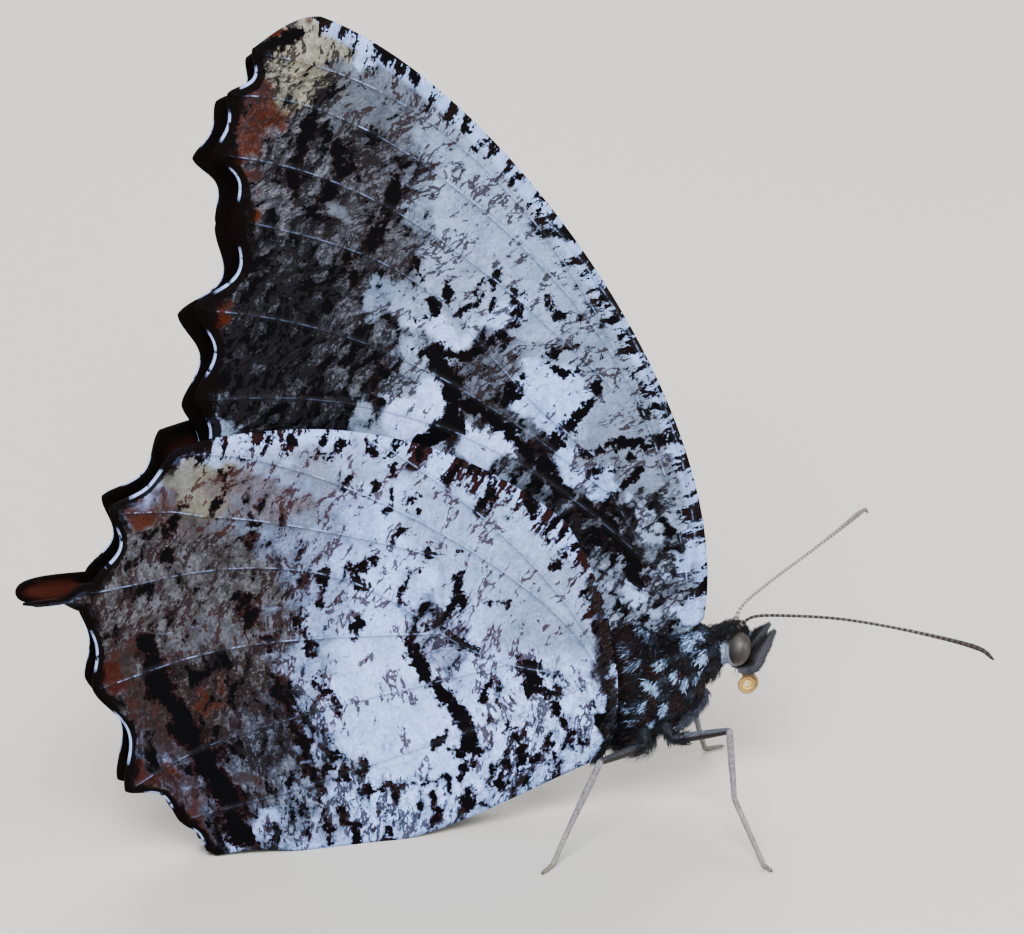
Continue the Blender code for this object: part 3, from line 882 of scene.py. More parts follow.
HIND_PLAN = WingPlan(
    kind=WingKind.HIND,
    root=(5.6, 9.4),
    depth=-1.6,
    edges={
        "shoulder": ((6.55, 9.3), (6.3, 12.6), (5.2, 15.6), (3.7, 18.15)),
        "costa": ((3.7, 18.15), (-2.5, 23.9), (-8.6, 26.1), (-17.1, 25.5)),
        "tail": ((-23.3, 17.4), (-24.9, 17.45), (-27.3, 17.6), (-27.3, 16.6)),
        "under tail": ((-27.3, 16.6), (-27.3, 15.6), (-24.9, 15.8), (-23.9, 15.7)),
        "rest": ((-16.4, 0.1), (-14.6, 0.4), (-13.4, 0.35), (-12.0, 0.0)),
        "inner": ((-6.2, 0.0), (-2.4, 0.2), (2.4, 2.55), (5.7, 3.5)),
        "front": ((5.7, 3.5), (6.6, 4.2), (6.5, 7.0), (6.55, 9.3)),
    },
    lobes=(((-17.1, 25.5), 0.0), ((-18.8, 25.1), 0.75), ((-22.3, 21.8), 1.1), ((-23.3, 17.4), 0.0)),
    lower_lobes=(
        ((-23.9, 15.7), 0.5),
        ((-23.4, 11.0), 1.15),
        ((-21.6, 4.6), 0.8),
        ((-18.4, 2.3), 0.3),
        ((-16.9, 0.3), 0.0),
    ),
    veins={
        "Sc": ((-6.9, 24.1), (-2.2, 20.5), (2.6, 15.8), (5.5, 10.2)),
        "Rs": ((-18.3, 24.8), (-11.9, 25.2), (2.8, 15.2), (5.3, 9.6)),
        "M1": ((-21.8, 21.5), (-16.0, 21.3), (-9.6, 19.4), (-3.7, 17.0)),
        "M3": ((-26.6, 16.7), (-17.9, 16.9), (-11.7, 20.2), (-3.8, 12.5)),
        "CuA1": ((-23.0, 11.1), (-14.7, 13.5), (-12.7, 13.2), (-3.8, 12.4)),
        "CuA2": ((-21.2, 4.8), (-15.3, 8.7), (-7.4, 8.8), (0.0, 10.0)),
        "2A": ((-17.9, 2.6), (-10.0, 4.2), (-1.0, 6.3), (5.2, 8.7)),
        "Cu": ((-3.8, 12.5), (-1.2, 10.4), (2.1, 8.9), (5.4, 9.0)),
        "cell": ((-4.1, 19.2), (-3.5, 17.4), (-3.3, 14.5), (-3.8, 12.5)),
    },
    raised={
        "Sc": 0.8, "Rs": 1.0, "M1": 1.0, "M3": 1.0, "CuA1": 1.0,
        "CuA2": 0.45, "2A": 0.2, "Cu": 0.45, "cell": 0.15,
    },
    patches=laid(
        (Tone.ICE, (500, 570, 120, 60, 42, 0.8, 0.2)),
        (Tone.STEEL, (550, 640, 60, 30, 0, 0.25, 0.22), (310, 525, 70, 48, 8, 0.35, 0.36)),
        (Tone.PALE_BLUE, (560, 600, 60, 50, 45, 0.5, 0.16)),
        (Tone.MILK, (390, 690, 110, 110, 0, 1.0, 0.16)),
        (
            Tone.WHITE, (395, 645, 60, 28, -5, 0.7, 0.08), (400, 720, 60, 45, 0, 0.5, 0.08),
            (545, 715, 75, 60, 0, 0.5, 0.56),
        ),
        (Tone.MILK, (530, 775, 95, 42, -30, 0.6, 0.6)),
        (Tone.STEEL, (305, 600, 42, 100, 0, 0.55, 0.46)),
        (Tone.TAUPE, (180, 620, 110, 125, 0, 1.0, 0.55)),
        (Tone.GREY, (215, 560, 90, 60, 0, 0.35, 0.55)),
        (Tone.UMBER, (195, 750, 105, 105, 35, 0.9, 0.66)),
        (Tone.SLATE, (278, 770, 62, 92, 10, 0.65, 0.64)),
        (Tone.STEEL, (268, 490, 85, 42, -5, 0.65, 0.36)),
        (Tone.MOSS, (205, 475, 48, 34, -25, 0.95, 0.25)),
        (Tone.PINK, (255, 495, 50, 20, 5, 0.85, 0.42), (190, 520, 45, 18, 0, 0.4, 0.35)),
        (Tone.MILK, (300, 446, 90, 12, 0, 0.55, 0.35)),
        (Tone.MOSS, (350, 466, 120, 20, 8, 0.4, 0.32)),
        (Tone.MILK, (420, 462, 60, 14, 22, 0.5, 0.3)),
        (Tone.STEEL, (320, 800, 60, 45, 0, 0.5, 0.6)),
        (Tone.MILK, (400, 805, 60, 42, -5, 0.8, 0.55), (262, 832, 13, 8, -20, 0.6, 0.4)),
        (Tone.STEEL, (225, 640, 60, 10, -8, 0.35, 0.35)),
        (Tone.BROWN, (440, 640, 26, 40, -15, 0.65, 0.6)),
        (Tone.TAUPE, (602, 625, 10, 60, 0, 0.9, 0.62)),
        (Tone.SOOT, (615, 690, 9, 95, 2, 1.0, 0.95)),
        (Tone.UMBER, (150, 700, 20, 60, -25, 0.8, 0.4)),
        (
            Tone.RUST, (210, 697, 22, 8, -12, 0.9, 0.25), (140, 521, 15, 15, 0, 0.9, 0.1),
            (168, 505, 12, 14, 0, 0.5, 0.3),
        ),
        (Tone.RED, (115, 680, 17, 12, -20, 1.0, 0.35), (152, 780, 22, 15, 10, 1.0, 0.4)),
        (Tone.BROWN, (190, 815, 40, 16, 55, 0.8, 0.5)),
        (Tone.RED, (206, 835, 22, 12, 75, 0.7, 0.2), (40, 590, 42, 8, 0, 1.0, 0.05)),
        (Tone.BROWN, (255, 775, 14, 14, 0, 0.6, 0.3), (215, 705, 45, 30, 0, 0.15, 0.5)),
    ),
    strokes=drawn(
        {
            25: ((150, 645, 165, 692, 190, 735, 222, 785, 240, 838),),
            19: ((432, 686, 446, 702, 458, 722, 471, 747),),
            18: ((250, 602, 252, 626),),
            17: ((528, 664, 532, 688),),
            16: ((410, 638, 419, 662),),
            13: ((495, 470, 489, 492, 480, 512), (460, 752, 463, 780, 465, 806)),
            12: ((456, 578, 462, 596, 446, 612, 430, 622), (275, 678, 300, 738, 316, 790, 328, 838)),
            11: (
                (460, 462, 444, 483), (419, 662, 430, 684), (442, 734, 438, 742), (540, 688, 556, 696),
                (510, 725, 520, 740, 518, 768),
            ),
            10: (
                (372, 562, 350, 568, 352, 590, 364, 586), (450, 640, 476, 650),
                (552, 700, 572, 733, 588, 752), (256, 510, 253, 545), (342, 812, 356, 848),
                (362, 765, 364, 790),
            ),
            9: (
                (370, 438, 372, 452), (427, 445, 414, 463), (557, 520, 545, 545), (391, 465, 392, 482),
                (417, 498, 404, 506, 412, 516), (325, 568, 322, 596), (466, 600, 460, 622),
                (490, 680, 478, 700), (530, 756, 548, 742, 560, 782), (296, 610, 302, 632, 312, 654),
                (185, 510, 175, 532, 173, 562), (385, 812, 392, 842), (332, 696, 340, 712),
                (380, 790, 392, 798), (325, 768, 345, 780),
            ),
            8: (
                (322, 438, 315, 462), (530, 490, 536, 522), (585, 545, 555, 562), (600, 560, 586, 596),
                (412, 572, 406, 588, 398, 600), (482, 780, 502, 792), (500, 765, 505, 792),
                (488, 600, 504, 604), (356, 620, 352, 640), (270, 638, 276, 658),
                (222, 470, 224, 495, 216, 512), (430, 796, 436, 818), (318, 682, 322, 690),
            ),
            7: (
                (253, 438, 240, 460), (292, 438, 284, 450), (340, 440, 325, 458), (480, 465, 470, 476),
                (282, 520, 282, 535),
            ),
            6: (
                (273, 438, 264, 453), (349, 438, 340, 446), (348, 480, 343, 490), (372, 485, 365, 497),
                (390, 490, 387, 510), (410, 525, 388, 534, 390, 550),
            ),
            5: ((430, 553, 445, 557, 460, 552),),
        }
    ),
    # Lines along the hindwing's pleats, where the painted highlights are laid.
    pleat_highlights=(
        (300, 487, 360, 500, 440, 540),
        (330, 490, 420, 520, 520, 600),
        (160, 640, 240, 612, 340, 606),
        (300, 760, 400, 745, 520, 700),
    ),
)


@dataclass
class Leaf:
    """A wing laid flat as a fine lattice, with what is known at each of its points."""

    plan: WingPlan
    camera: Camera
    spacing: float = 0.24
    near: float = 0.14

    def scalloped(self, lobes: tuple, inside: tuple[float, float]) -> np.ndarray:
        """The outer margin from lobe to lobe.

        Args:
            lobes: Each lobe's place and the depth of the bay after it.
            inside: A place on the wing that the bays dip towards.

        Returns:
            X, Z and how far into a bay each point lies, from 0 to 1.
        """
        out = []
        for (start, depth), (end, _) in zip(lobes, lobes[1:]):
            a, b = np.array(start, float), np.array(end, float)
            chord = b - a
            normal = np.array((chord[1], -chord[0])) / np.linalg.norm(chord)
            if normal @ (np.array(inside) - a) < 0:
                normal = -normal
            for t in np.linspace(0.0, 1.0, max(2, round(np.linalg.norm(chord) / self.near)), endpoint=False):
                dip = (0.5 - 0.5 * math.cos(2 * math.pi * t)) ** 0.85
                deep = 1.0 - abs(2 * t - 1) if depth > 0 else 0.0
                out.append((*(a + chord * t + normal * depth * dip), deep))
        return np.array(out)

    def plain(self, name: str, bay: float = -1.0) -> np.ndarray:
        """One smooth edge.

        Args:
            name: Which edge.
            bay: The number that marks its points.

        Returns:
            X, Z and the mark.
        """
        line = resampled(bezier(self.plan.edges[name], 200), self.near)[:-1]
        return np.column_stack([line, np.full(len(line), bay)])

    def outline(self) -> np.ndarray:
        """The closed outline as X, Z and bay: -1 on a smooth edge, and 0 to 1 on the outer margin."""
        if self.plan.kind is WingKind.FORE:
            pieces = [self.plain("costa"), self.plain("apex"), self.scalloped(self.plan.lobes, (-3.0, 30.0))]
            pieces += [self.plain("inner"), self.plain("foot")]
        else:
            pieces = [
                self.plain("shoulder"),
                self.plain("costa"),
                self.scalloped(self.plan.lobes, (-8.0, 12.0)),
                self.plain("tail", 0.0),
                self.plain("under tail", 0.0),
                self.scalloped(self.plan.lower_lobes, (-8.0, 12.0)),
                self.plain("rest"),
            ]
            rest = resampled(np.array(((-12.0, 0.0), (-6.2, 0.0))), self.near)[:-1]
            pieces.append(np.column_stack([rest, np.full(len(rest), -1.0)]))
            pieces += [self.plain("inner"), self.plain("front")]
        line = np.vstack(pieces)
        apart = np.linalg.norm(line[:, :2] - np.roll(line[:, :2], 1, axis=0), axis=1)
        return line[apart > 0.03]

    def lattice(self) -> None:
        """Lays the points: outline, veins with a row on each side, and a hexagonal field."""
        ring = self.outline()
        low, high = ring[:, :2].min(0), ring[:, :2].max(0)
        rows = np.arange(low[1], high[1], self.spacing * math.sqrt(3) / 2)
        columns = np.arange(low[0], high[0], self.spacing)
        x, z = np.meshgrid(columns, rows)
        x = x + (np.arange(len(rows)) % 2)[:, None] * self.spacing / 2
        field = np.column_stack([x.ravel(), z.ravel()])
        lines = [resampled(bezier(h, 200), self.near) for h in self.plan.veins.values()]
        sides = []
        for line in lines:
            along = unit(np.gradient(line, axis=0))
            across = np.stack([along[:, 1], -along[:, 0]], 1)
            sides += [line + across * 0.11, line - across * 0.11]
        kept = ring[:, :2]
        for group, clear in ((lines, 0.09), (sides, 0.075), ([field], 0.6 * self.spacing)):
            for line in group:
                line = line[self.inside(line, ring[:, :2])]
                gap = in_blocks(lambda p: np.sqrt(((p[:, None] - kept[None]) ** 2).sum(2)).min(1), line, 1500)
                kept = np.vstack([kept, line[gap > clear]])
        edges = [(i, (i + 1) % len(ring)) for i in range(len(ring))]
        made = delaunay_2d_cdt([Vector(p) for p in kept], edges, [], 1, 1e-6)
        self.points = np.array([tuple(p) for p in made[0]])
        self.faces = np.array([tuple(f) for f in made[2]])
        self.ring = ring

    def inside(self, points: np.ndarray, ring: np.ndarray) -> np.ndarray:
        """Which points lie inside a closed line.

        Args:
            points: The points.
            ring: The line.

        Returns:
            True for each point inside.
        """
        a, b = ring, np.roll(ring, -1, axis=0)

        def count(p: np.ndarray) -> np.ndarray:
            """Crossings of a ray from each point, odd inside."""
            rise = np.where(b[:, 1] == a[:, 1], 1e-9, b[:, 1] - a[:, 1])
            crosses = (a[None, :, 1] > p[:, 1:]) != (b[None, :, 1] > p[:, 1:])
            at = a[None, :, 0] + (p[:, 1:] - a[None, :, 1]) / rise[None] * (b[:, 0] - a[:, 0])[None]
            return (crosses & (p[:, :1] < at)).sum(1) % 2 == 1

        return in_blocks(count, points)

    def survey(self) -> None:
        """Works out the distances, the flow, the marks and the ground colours at each point."""
        root = np.array(self.plan.root)
        starts, ends, ways, along, height = [], [], [], [], []
        for name, handles in self.plan.veins.items():
            line = resampled(bezier(handles, 200), 0.5)
            if np.linalg.norm(line[0] - root) > np.linalg.norm(line[-1] - root):
                line = line[::-1]
            way = np.diff(line, axis=0)
            size = np.linalg.norm(way, axis=1)
            starts.append(line[:-1])
            ends.append(line[1:])
            ways.append(way / size[:, None])
            along.append(np.linalg.norm(line[0] - root) + np.r_[0.0, np.cumsum(size)[:-1]])
            height.append(np.full(len(size), self.plan.raised[name]))
        starts, ends, ways = np.vstack(starts), np.vstack(ends), np.vstack(ways)
        along, height = np.concatenate(along), np.concatenate(height)

        def from_veins(p: np.ndarray) -> np.ndarray:
            """Distance to the nearest vein, its height, and the length along the veins."""
            gap, _ = to_segments(p, starts, ends)
            nearest = gap.argmin(1)
            weight = 1.0 / (gap**2 + 0.3) ** 1.6
            reach = along[None] + ((p[:, None] - starts[None]) * ways[None]).sum(2)
            return np.column_stack([gap.min(1), height[nearest], (weight * reach).sum(1) / weight.sum(1)])

        self.vein, self.height, self.along = in_blocks(from_veins, self.points, 2000).T
        ring = self.ring[:, :2]
        after = np.roll(ring, -1, axis=0)
        bays = self.ring[:, 2]
        outer = bays >= 0

        def from_edge(p: np.ndarray) -> np.ndarray:
            """Distance to the edge, to the outer margin, to the smooth edge, and the nearest bay number."""
            gap, _ = to_segments(p, ring, after)
            rough = np.where(outer[None], gap, 99.0)
            plain = np.where(outer[None], 99.0, gap)
            return np.column_stack([gap.min(1), rough.min(1), plain.min(1), bays[rough.argmin(1)]])

        self.edge, self.margin, self.costa, self.bay = in_blocks(from_edge, self.points, 1500).T
        whole = 2 * self.camera.eighteenths
        self.mark = self.from_strokes([(s.width / whole, s.line) for s in self.plan.strokes])
        # How far inside the painted pleat-highlight lines each point lies.
        self.pleat_highlight = np.full(len(self.points), 9.0)
        if self.plan.pleat_highlights:
            self.pleat_highlight = -self.from_strokes([(0.0, line) for line in self.plan.pleat_highlights])
        self.colours()

    def from_strokes(self, strokes: list[tuple[float, tuple]]) -> np.ndarray:
        """How deep inside the nearest stroke each point lies, in millimetres, negative outside.

        Args:
            strokes: Half widths in millimetres, and lines in the camera's view.

        Returns:
            The depths.
        """
        starts, ends, widths = [], [], []
        for half, line in strokes:
            places = self.camera.onto(np.array(line, float).reshape(-1, 2), self.plan.depth)
            starts.append(places[:-1])
            ends.append(places[1:])
            widths.append(np.full(len(places) - 1, half))
        starts, ends, widths = np.vstack(starts), np.vstack(ends), np.concatenate(widths)
        push = [0.5 * patchy(self.points, 1.1, k) + 0.3 * patchy(self.points, 0.45, k + 2) for k in (11, 12)]
        places = self.points + np.column_stack(push)
        return in_blocks(lambda p: (widths[None] - to_segments(p, starts, ends)[0]).max(1), places, 1500)

    def colours(self) -> None:
        """Lays the patches of colour over the pale ground, and how thickly the dark flecks lie."""
        view = self.camera
        a, e = math.radians(view.azimuth), math.radians(view.elevation)
        dx = self.points[:, 0] - view.target[0]
        dz = self.points[:, 1] - view.target[2]
        depth = self.plan.depth
        x = view.middle[0] + view.eighteenths * (math.cos(a) * dx + math.sin(a) * depth)
        up = -math.sin(a) * math.sin(e) * dx + math.cos(a) * math.sin(e) * depth + math.cos(e) * dz
        y = view.middle[1] - view.eighteenths * up
        start = Tone.PALE_BLUE if self.plan.kind is WingKind.FORE else Tone.MILK
        seen = np.column_stack([x, y])
        x = x + 34 * patchy(seen, 24.0, 1) + 16 * patchy(seen, 9.0, 2)
        y = y + 34 * patchy(seen, 24.0, 3) + 16 * patchy(seen, 9.0, 4)
        ground = np.tile(np.array(start.value), (len(x), 1))
        dark = np.full(len(x), 0.25)
        for patch in self.plan.patches:
            cover = patch.cover(x, y)[:, None]
            ground = ground * (1 - cover) + np.array(patch.tone.value) * cover
            if patch.dark is not None:
                share = cover[:, 0] / patch.weight * min(1.0, patch.weight + 0.3)
                dark = dark * (1 - share) + patch.dark * share
        self.ground = ground
        self.dark = dark
        x, z = self.points.T
        self.tail = smooth(-np.hypot((x + 25.2) / 1.7, (z - 16.6) / 0.5), -1.15, -0.7)


@dataclass(frozen=True)
class WingFinish:
    """Paints the two faces of a wing.

    The fields are how pale the band at the front edge is, the colours of a stroke, of a tick and of the
    stain round a blotch, and how narrow the dark rim is.
    """

    bars: float
    stroke: Colour
    tick: Colour
    stain: Colour
    rim: float = 1.0

    def under(self, name: str) -> bpy.types.Material:
        """The bark-patterned underside.

        Args:
            name: The material's name.

        Returns:
            The material.
        """
        paint = Paint(name, 0.75, Specular_IOR_Level=0.05)
        flow = paint.place("flow")
        mark, dark, costa = paint.parts("marks")
        vein, line, pleat_highlight = paint.parts("lines")
        margin, bay, _ = paint.parts("margin")
        flat = paint.stretch(flow, (0.0, 1.0, 1.0))
        ground = paint.colour("ground")

        scale = paint.cells(paint.stretch(flow, (3.0, 6.5, 6.5)), 1.0, "Color") - 0.5
        grain = paint.drawn_noise(flow, (3.0, 3.6, 3.6), 3.0, 0.7)
        mottle = paint.drawn_noise(flow, (1.3, 1.5, 1.5), 4.0, 0.65)
        blotch = paint.drawn_noise(flow, (0.35, 0.5, 0.5), 4.0, 0.6)
        wander = paint.noise(flat, 0.55, 3.0)
        rough = dark.ramp(0.3, 0.7)
        shade = scale * 0.5 + (blotch - 0.5) * 0.8 + (mottle - 0.5) * (rough * 2.4 + 0.9) + 0.97
        colour = paint.shaded(ground, shade)
        spark = mottle * 0.4 + grain * 0.6 + scale * 0.2
        lit = paint.mix(0.5, paint.shaded(ground, 2.9), Tone.STEEL.value)
        colour = (spark.ramp(0.5, 0.56) * rough).over(colour, lit)

        clouds = paint.drawn_noise(flow, (0.95, 0.7, 0.7), 6.0, 0.66)
        isles = paint.cells(paint.stretch(flow, (1.0, 0.85, 0.85)), 1.0)
        field = clouds * 0.5 + mottle * 0.25 + isles * 0.26 + (wander - 0.5) * 0.1 + scale * 0.07
        depth = field - (0.772 - dark * 0.37)
        colour = (depth.ramp(-0.07, 0.0) * 0.6).over(colour, self.stain)
        colour = depth.ramp(-0.012, 0.02).over(colour, Tone.BLACK.value)
        ticks = paint.drawn_noise(flow, (1.9, 1.0, 1.0), 4.0, 0.62) + scale * 0.12
        tick = (ticks - (0.672 - dark * 0.12)).ramp(-0.012, 0.02)
        ink = paint.mix(rough, self.tick, Tone.SOOT.value)
        colour = (tick * 0.92).over(colour, paint.mix(wander.ramp(0.45, 0.6), ink, Tone.BLACK.value))
        web = paint.drawn_noise(flow, (1.3, 0.7, 0.7), 4.0, 0.62)
        gate = paint.drawn_noise(flow, (0.8, 0.5, 0.5), 3.0) + dark * 0.2
        web = (web - 0.5).math("ABSOLUTE") + scale * 0.03 + (grain - 0.5) * 0.07
        web = (0.044 - web).math("MINIMUM", (gate - 0.6) * 0.7)
        colour = (web.ramp(-0.001, 0.005) * 0.9).over(colour, ink)
        band = costa.ramp(1.0, 0.6)
        colour = (band * self.bars * 0.6).over(colour, Tone.MILK.value)
        bars = paint.drawn_noise(flow, (1.25, 0.3, 0.3), 5.0, 0.68)
        bars = bars + scale * 0.12 + (grain - 0.5) * 0.12 - costa * 0.06
        barred = bars.ramp(0.485, 0.503) * costa.ramp(1.9, 1.4)
        colour = barred.over(colour, paint.mix(wander.ramp(0.5, 0.6), self.stroke, Tone.BLACK.value))

        loose = (paint.noise(flat, 0.8, 3.0) - 0.5) * 1.5
        tight = (paint.noise(flat, 2.0, 5.0, Roughness=0.7) - 0.5) * 1.6
        ragged = mark + loose + tight + scale * 0.25 - 0.02
        colour = (ragged.ramp(-0.13, 0.0) * 0.4).over(colour, Tone.BROWN.value)
        inked = paint.mix(ragged.ramp(0.02, 0.16), self.stroke, Tone.BLACK.value)
        colour = ragged.ramp(-0.02, 0.035).over(colour, inked)

        broken = paint.noise(flow, 1.1, 4.0, Roughness=0.75).ramp(0.44, 0.6)
        # Painted shade: a soft slate darkening that rises towards each vein, beside the raised veins.
        colour = (vein.ramp(0.3, 0.06) * 0.22).over(colour, Tone.SLATE.value)
        crest = vein.ramp(0.055, 0.02) * line * broken * (0.6 - rough * 0.42)
        colour = crest.over(colour, Tone.WHITE.value)
        # Painted highlight: faint white lines along the hindwing's pleats, which the flat wing does not have.
        colour = (pleat_highlight.ramp(0.1, 0.02) * 0.25 * broken).over(colour, Tone.WHITE.value)

        wavy = paint.noise(flat, 0.9, 4.0) - 0.5 + scale * 0.15
        lobe = (margin * self.rim + wavy * 1.4).ramp(1.15, 0.9) * bay.ramp(0.75, 0.45)
        band = (margin * self.rim + wavy * 0.8).ramp(0.66, 0.54)
        colour = (lobe * 0.92).over(colour, Tone.LOBE.value)
        colour = (band * 0.97).over(colour, Tone.LOBE.value)
        fringe = margin.ramp(0.13, 0.09) * bay.ramp(0.45, 0.65) * paint.noise(flat, 1.6, 3.0).ramp(0.36, 0.46)
        colour = (fringe * 0.9).over(colour, Tone.WHITE.value)

        relief = scale * 0.35 + grain * 0.5 + vein.ramp(0.14, 0.0) * 0.8
        return paint.finish(colour, relief, 0.00005)

    def upper(self, name: str) -> bpy.types.Material:
        """The dark upper side, which faces the other wing.

        Args:
            name: The material's name.

        Returns:
            The material.
        """
        paint = Paint(name, 0.75, Specular_IOR_Level=0.05)
        flow = paint.place("flow")
        margin = paint.parts("margin")[0]
        cloud = paint.noise(flow, 0.5, 3.0)
        colour = paint.mix(cloud, rgb(18, 13, 13), rgb(38, 26, 24))
        edge = margin + (cloud - 0.5) * 2.0
        colour = (edge.ramp(3.4, 1.5) * 0.7).over(colour, rgb(46, 20, 16))
        colour = margin.ramp(1.3, 0.6).over(colour, Tone.LOBE.value)
        colour = paint.colour("tail").over(colour, Tone.RED.value)
        relief = paint.cells(paint.stretch(flow, (7.0, 12.0, 12.0)), 1.0)
        return paint.finish(colour, relief, 0.00003)


@dataclass
class Wings:
    """The four wings, cut from two flat leaves."""

    camera: Camera
    thick: float = 0.3
    fore_offset: float = 0.45
    hind_offset: float = 1.45
    closing: float = 0.6
    far_lean: float = 1.15
    far_turn: float = math.radians(1.6)
    apex_pull: float = 1.25
    apex_drop: float = 0.6
    fore_top: float = 49.4
    curl_from: float = -23.6
    curl_done: float = -25.4
    tail_axis: float = 16.6
    tail_curl: float = math.radians(67)

    def middle(self, leaf: Leaf) -> np.ndarray:
        """Distance of a wing's middle surface from the plane between the pairs.

        Args:
            leaf: The flat wing.

        Returns:
            A distance for each point.
        """
        x, z = leaf.points.T
        if leaf.plan.kind is WingKind.FORE:
            return np.full(len(x), self.fore_offset)
        path = bezier(ABDOMEN, 17)[:, [0, 2]]
        reach = in_blocks(lambda p: np.sqrt(((p[:, None] - path[None]) ** 2).sum(2)).min(1), leaf.points)
        swell = np.exp(-((reach / SWELL_REACH) ** 4))
        swell *= SWELL * np.interp(x, (-8.0, 0.0, 3.0), (0.1, 0.85, 1.0))
        free = smooth(-x, 11.0, 19.0) * smooth(22.0 - z + 2.0 * np.maximum(0.0, -17.3 - x), 0.0, 4.0)
        return self.hind_offset + swell - self.closing * free

    def curled(self, points: np.ndarray) -> np.ndarray:
        """Turns the right tail about its own length.

        Args:
            points: The wing's points.

        Returns:
            The points with the tail curled.
        """
        turn = self.tail_curl * smooth(-points[:, 0], -self.curl_from, -self.curl_done)
        dz = points[:, 2] - self.tail_axis
        axis_y = self.closing - self.hind_offset
        dy = points[:, 1] - axis_y
        out = points.copy()
        out[:, 1] = axis_y + dy * np.cos(turn) - dz * np.sin(turn)
        out[:, 2] = self.tail_axis + dz * np.cos(turn) + dy * np.sin(turn)
        return out

    def leaning(self, points: np.ndarray) -> np.ndarray:
        """Turns the left forewing a little back and leans its tip out.

        Args:
            points: The wing's points.

        Returns:
            The placed points.
        """
        root = np.array(FORE_PLAN.root)
        height = np.maximum(0.0, (points[:, 2] - root[1]) / (self.fore_top - root[1]))
        c, s = math.cos(self.far_turn), math.sin(self.far_turn)
        dx, dz = points[:, 0] - root[0], points[:, 2] - root[1]
        blend = np.minimum(1.0, 4 * height)
        out = points.copy()
        out[:, 0] += (c * dx - s * dz - dx) * blend + self.apex_pull * smooth(points[:, 2], 41.0, 48.5)
        out[:, 1] += self.far_lean * height**3
        out[:, 2] += (s * dx + c * dz - dz) * blend - self.apex_drop * smooth(points[:, 2], 41.0, 48.5)
        return out

    def wing(self, name: str, side: float, leaf: Leaf, place: Field | None = None) -> None:
        """Makes one wing: an outer and an inner face and a thin rim.

        Args:
            name: The node that it stands for.
            side: -1 on the right and 1 on the left.
            leaf: The flat wing.
            place: How it is bent into its pose.
        """
        count = len(leaf.points)
        x, z = leaf.points.T
        thick = self.thick * (1 - 0.5 * np.exp(-leaf.edge / 0.45))
        ridge = leaf.height * 0.13 * np.exp(-((leaf.vein / 0.13) ** 2)) * np.minimum(1, leaf.edge / 0.8)
        sag = 0.1 * np.exp(-((leaf.vein / 0.9) ** 2))
        wave = 0.06 * np.sin(0.9 * leaf.along + 0.7 * x) * np.exp(-leaf.margin / 4)
        middle = self.middle(leaf) + sag + wave - 0.05
        outer = np.column_stack([x, side * (middle + 0.5 * thick + ridge), z])
        inner = np.column_stack([x, side * (middle - 0.5 * thick + 0.4 * ridge), z])
        points = np.vstack([outer, inner])
        if place:
            points = place(points)
        flip = side > 0
        front, back = leaf.faces, leaf.faces[:, ::-1] + count
        if flip:
            front, back = leaf.faces[:, ::-1], leaf.faces + count
        step = np.concatenate([leaf.faces[:, [0, 1]], leaf.faces[:, [1, 2]], leaf.faces[:, [2, 0]]])
        seen = set(map(tuple, step.tolist()))
        rim = [(b, a, a + count, b + count) for a, b in seen if (b, a) not in seen]
        if flip:
            rim = [face[::-1] for face in rim]
        faces = front.tolist() + back.tolist() + rim

        def both(*columns: np.ndarray) -> np.ndarray:
            """The same numbers for both faces."""
            stack = np.column_stack(columns)
            return np.vstack([stack, stack]).astype(np.float32)

        fore = leaf.plan.kind is WingKind.FORE
        front_edge = np.where(z > 12.0, leaf.costa, 9.0) + 6 * fore * smooth(-x, 9.9, 11.4)
        attributes = {
            "flow": both(leaf.along, x, z),
            "marks": both(leaf.mark, leaf.dark, front_edge),
            "lines": both(leaf.vein, np.minimum(leaf.height, 1.0), leaf.pleat_highlight),
            "margin": both(leaf.margin, leaf.bay, leaf.edge),
            "ground": both(leaf.ground, np.ones(count)),
            "tail": both(*[leaf.tail] * 3, np.ones(count)),
        }
        if fore:
            finish = WingFinish(1.0, rgb(30, 20, 22), rgb(66, 48, 50), Tone.SLATE.value)
        else:
            finish = WingFinish(0.5, rgb(54, 27, 28), rgb(86, 48, 46), Tone.UMBER.value, 1.55)
        obj = add_mesh(name + "_scales", points, faces, finish.under(name + "_under"), attributes)
        obj.data.materials.append(finish.upper(name + "_upper"))
        index = np.zeros(len(faces), np.int32)
        index[len(front) : len(front) + len(back)] = 1
        obj.data.polygons.foreach_set("material_index", index)
        self.unwrap(obj, leaf, len(front) + len(back))
        settle(obj, "wing", name)

    def unwrap(self, obj: bpy.types.Object, leaf: Leaf, flat_faces: int) -> None:
        """Lays out the bake map: the outer face large, the inner one beside it, the rim on the outer's edge.

        Args:
            obj: The wing.
            leaf: The flat wing.
            flat_faces: Triangles of the outer and inner face, which come before the rim's.
        """
        low = leaf.points.min(0)
        share = (leaf.points - low) / (leaf.points.max(0) - low).max()
        scale = 0.97 / max(1.0, share[:, 0].max() / 0.66)
        outer = share * scale + (0.01, 0.02)
        inner = share * scale * 0.42 + (0.02 + share[:, 0].max() * scale, 0.02)
        loops = corners(obj.data)
        places = np.vstack([outer, inner])[loops]
        rim = flat_faces * 3
        places[rim:] = np.vstack([outer, outer])[loops[rim:]]
        lay_out(obj.data, places)

    def build(self) -> None:
        """Makes the four wings."""
        leaves = {}
        for plan in (FORE_PLAN, HIND_PLAN):
            leaf = Leaf(plan, self.camera)
            leaf.lattice()
            leaf.survey()
            LOG.info("%s leaf: %d points", plan.kind.value, len(leaf.points))
            leaves[plan.kind] = leaf
        self.wing("forewing_right", -1.0, leaves[WingKind.FORE])
        self.wing("forewing_left", 1.0, leaves[WingKind.FORE], self.leaning)
        self.wing("hindwing_right", -1.0, leaves[WingKind.HIND], self.curled)
        self.wing("hindwing_left", 1.0, leaves[WingKind.HIND])


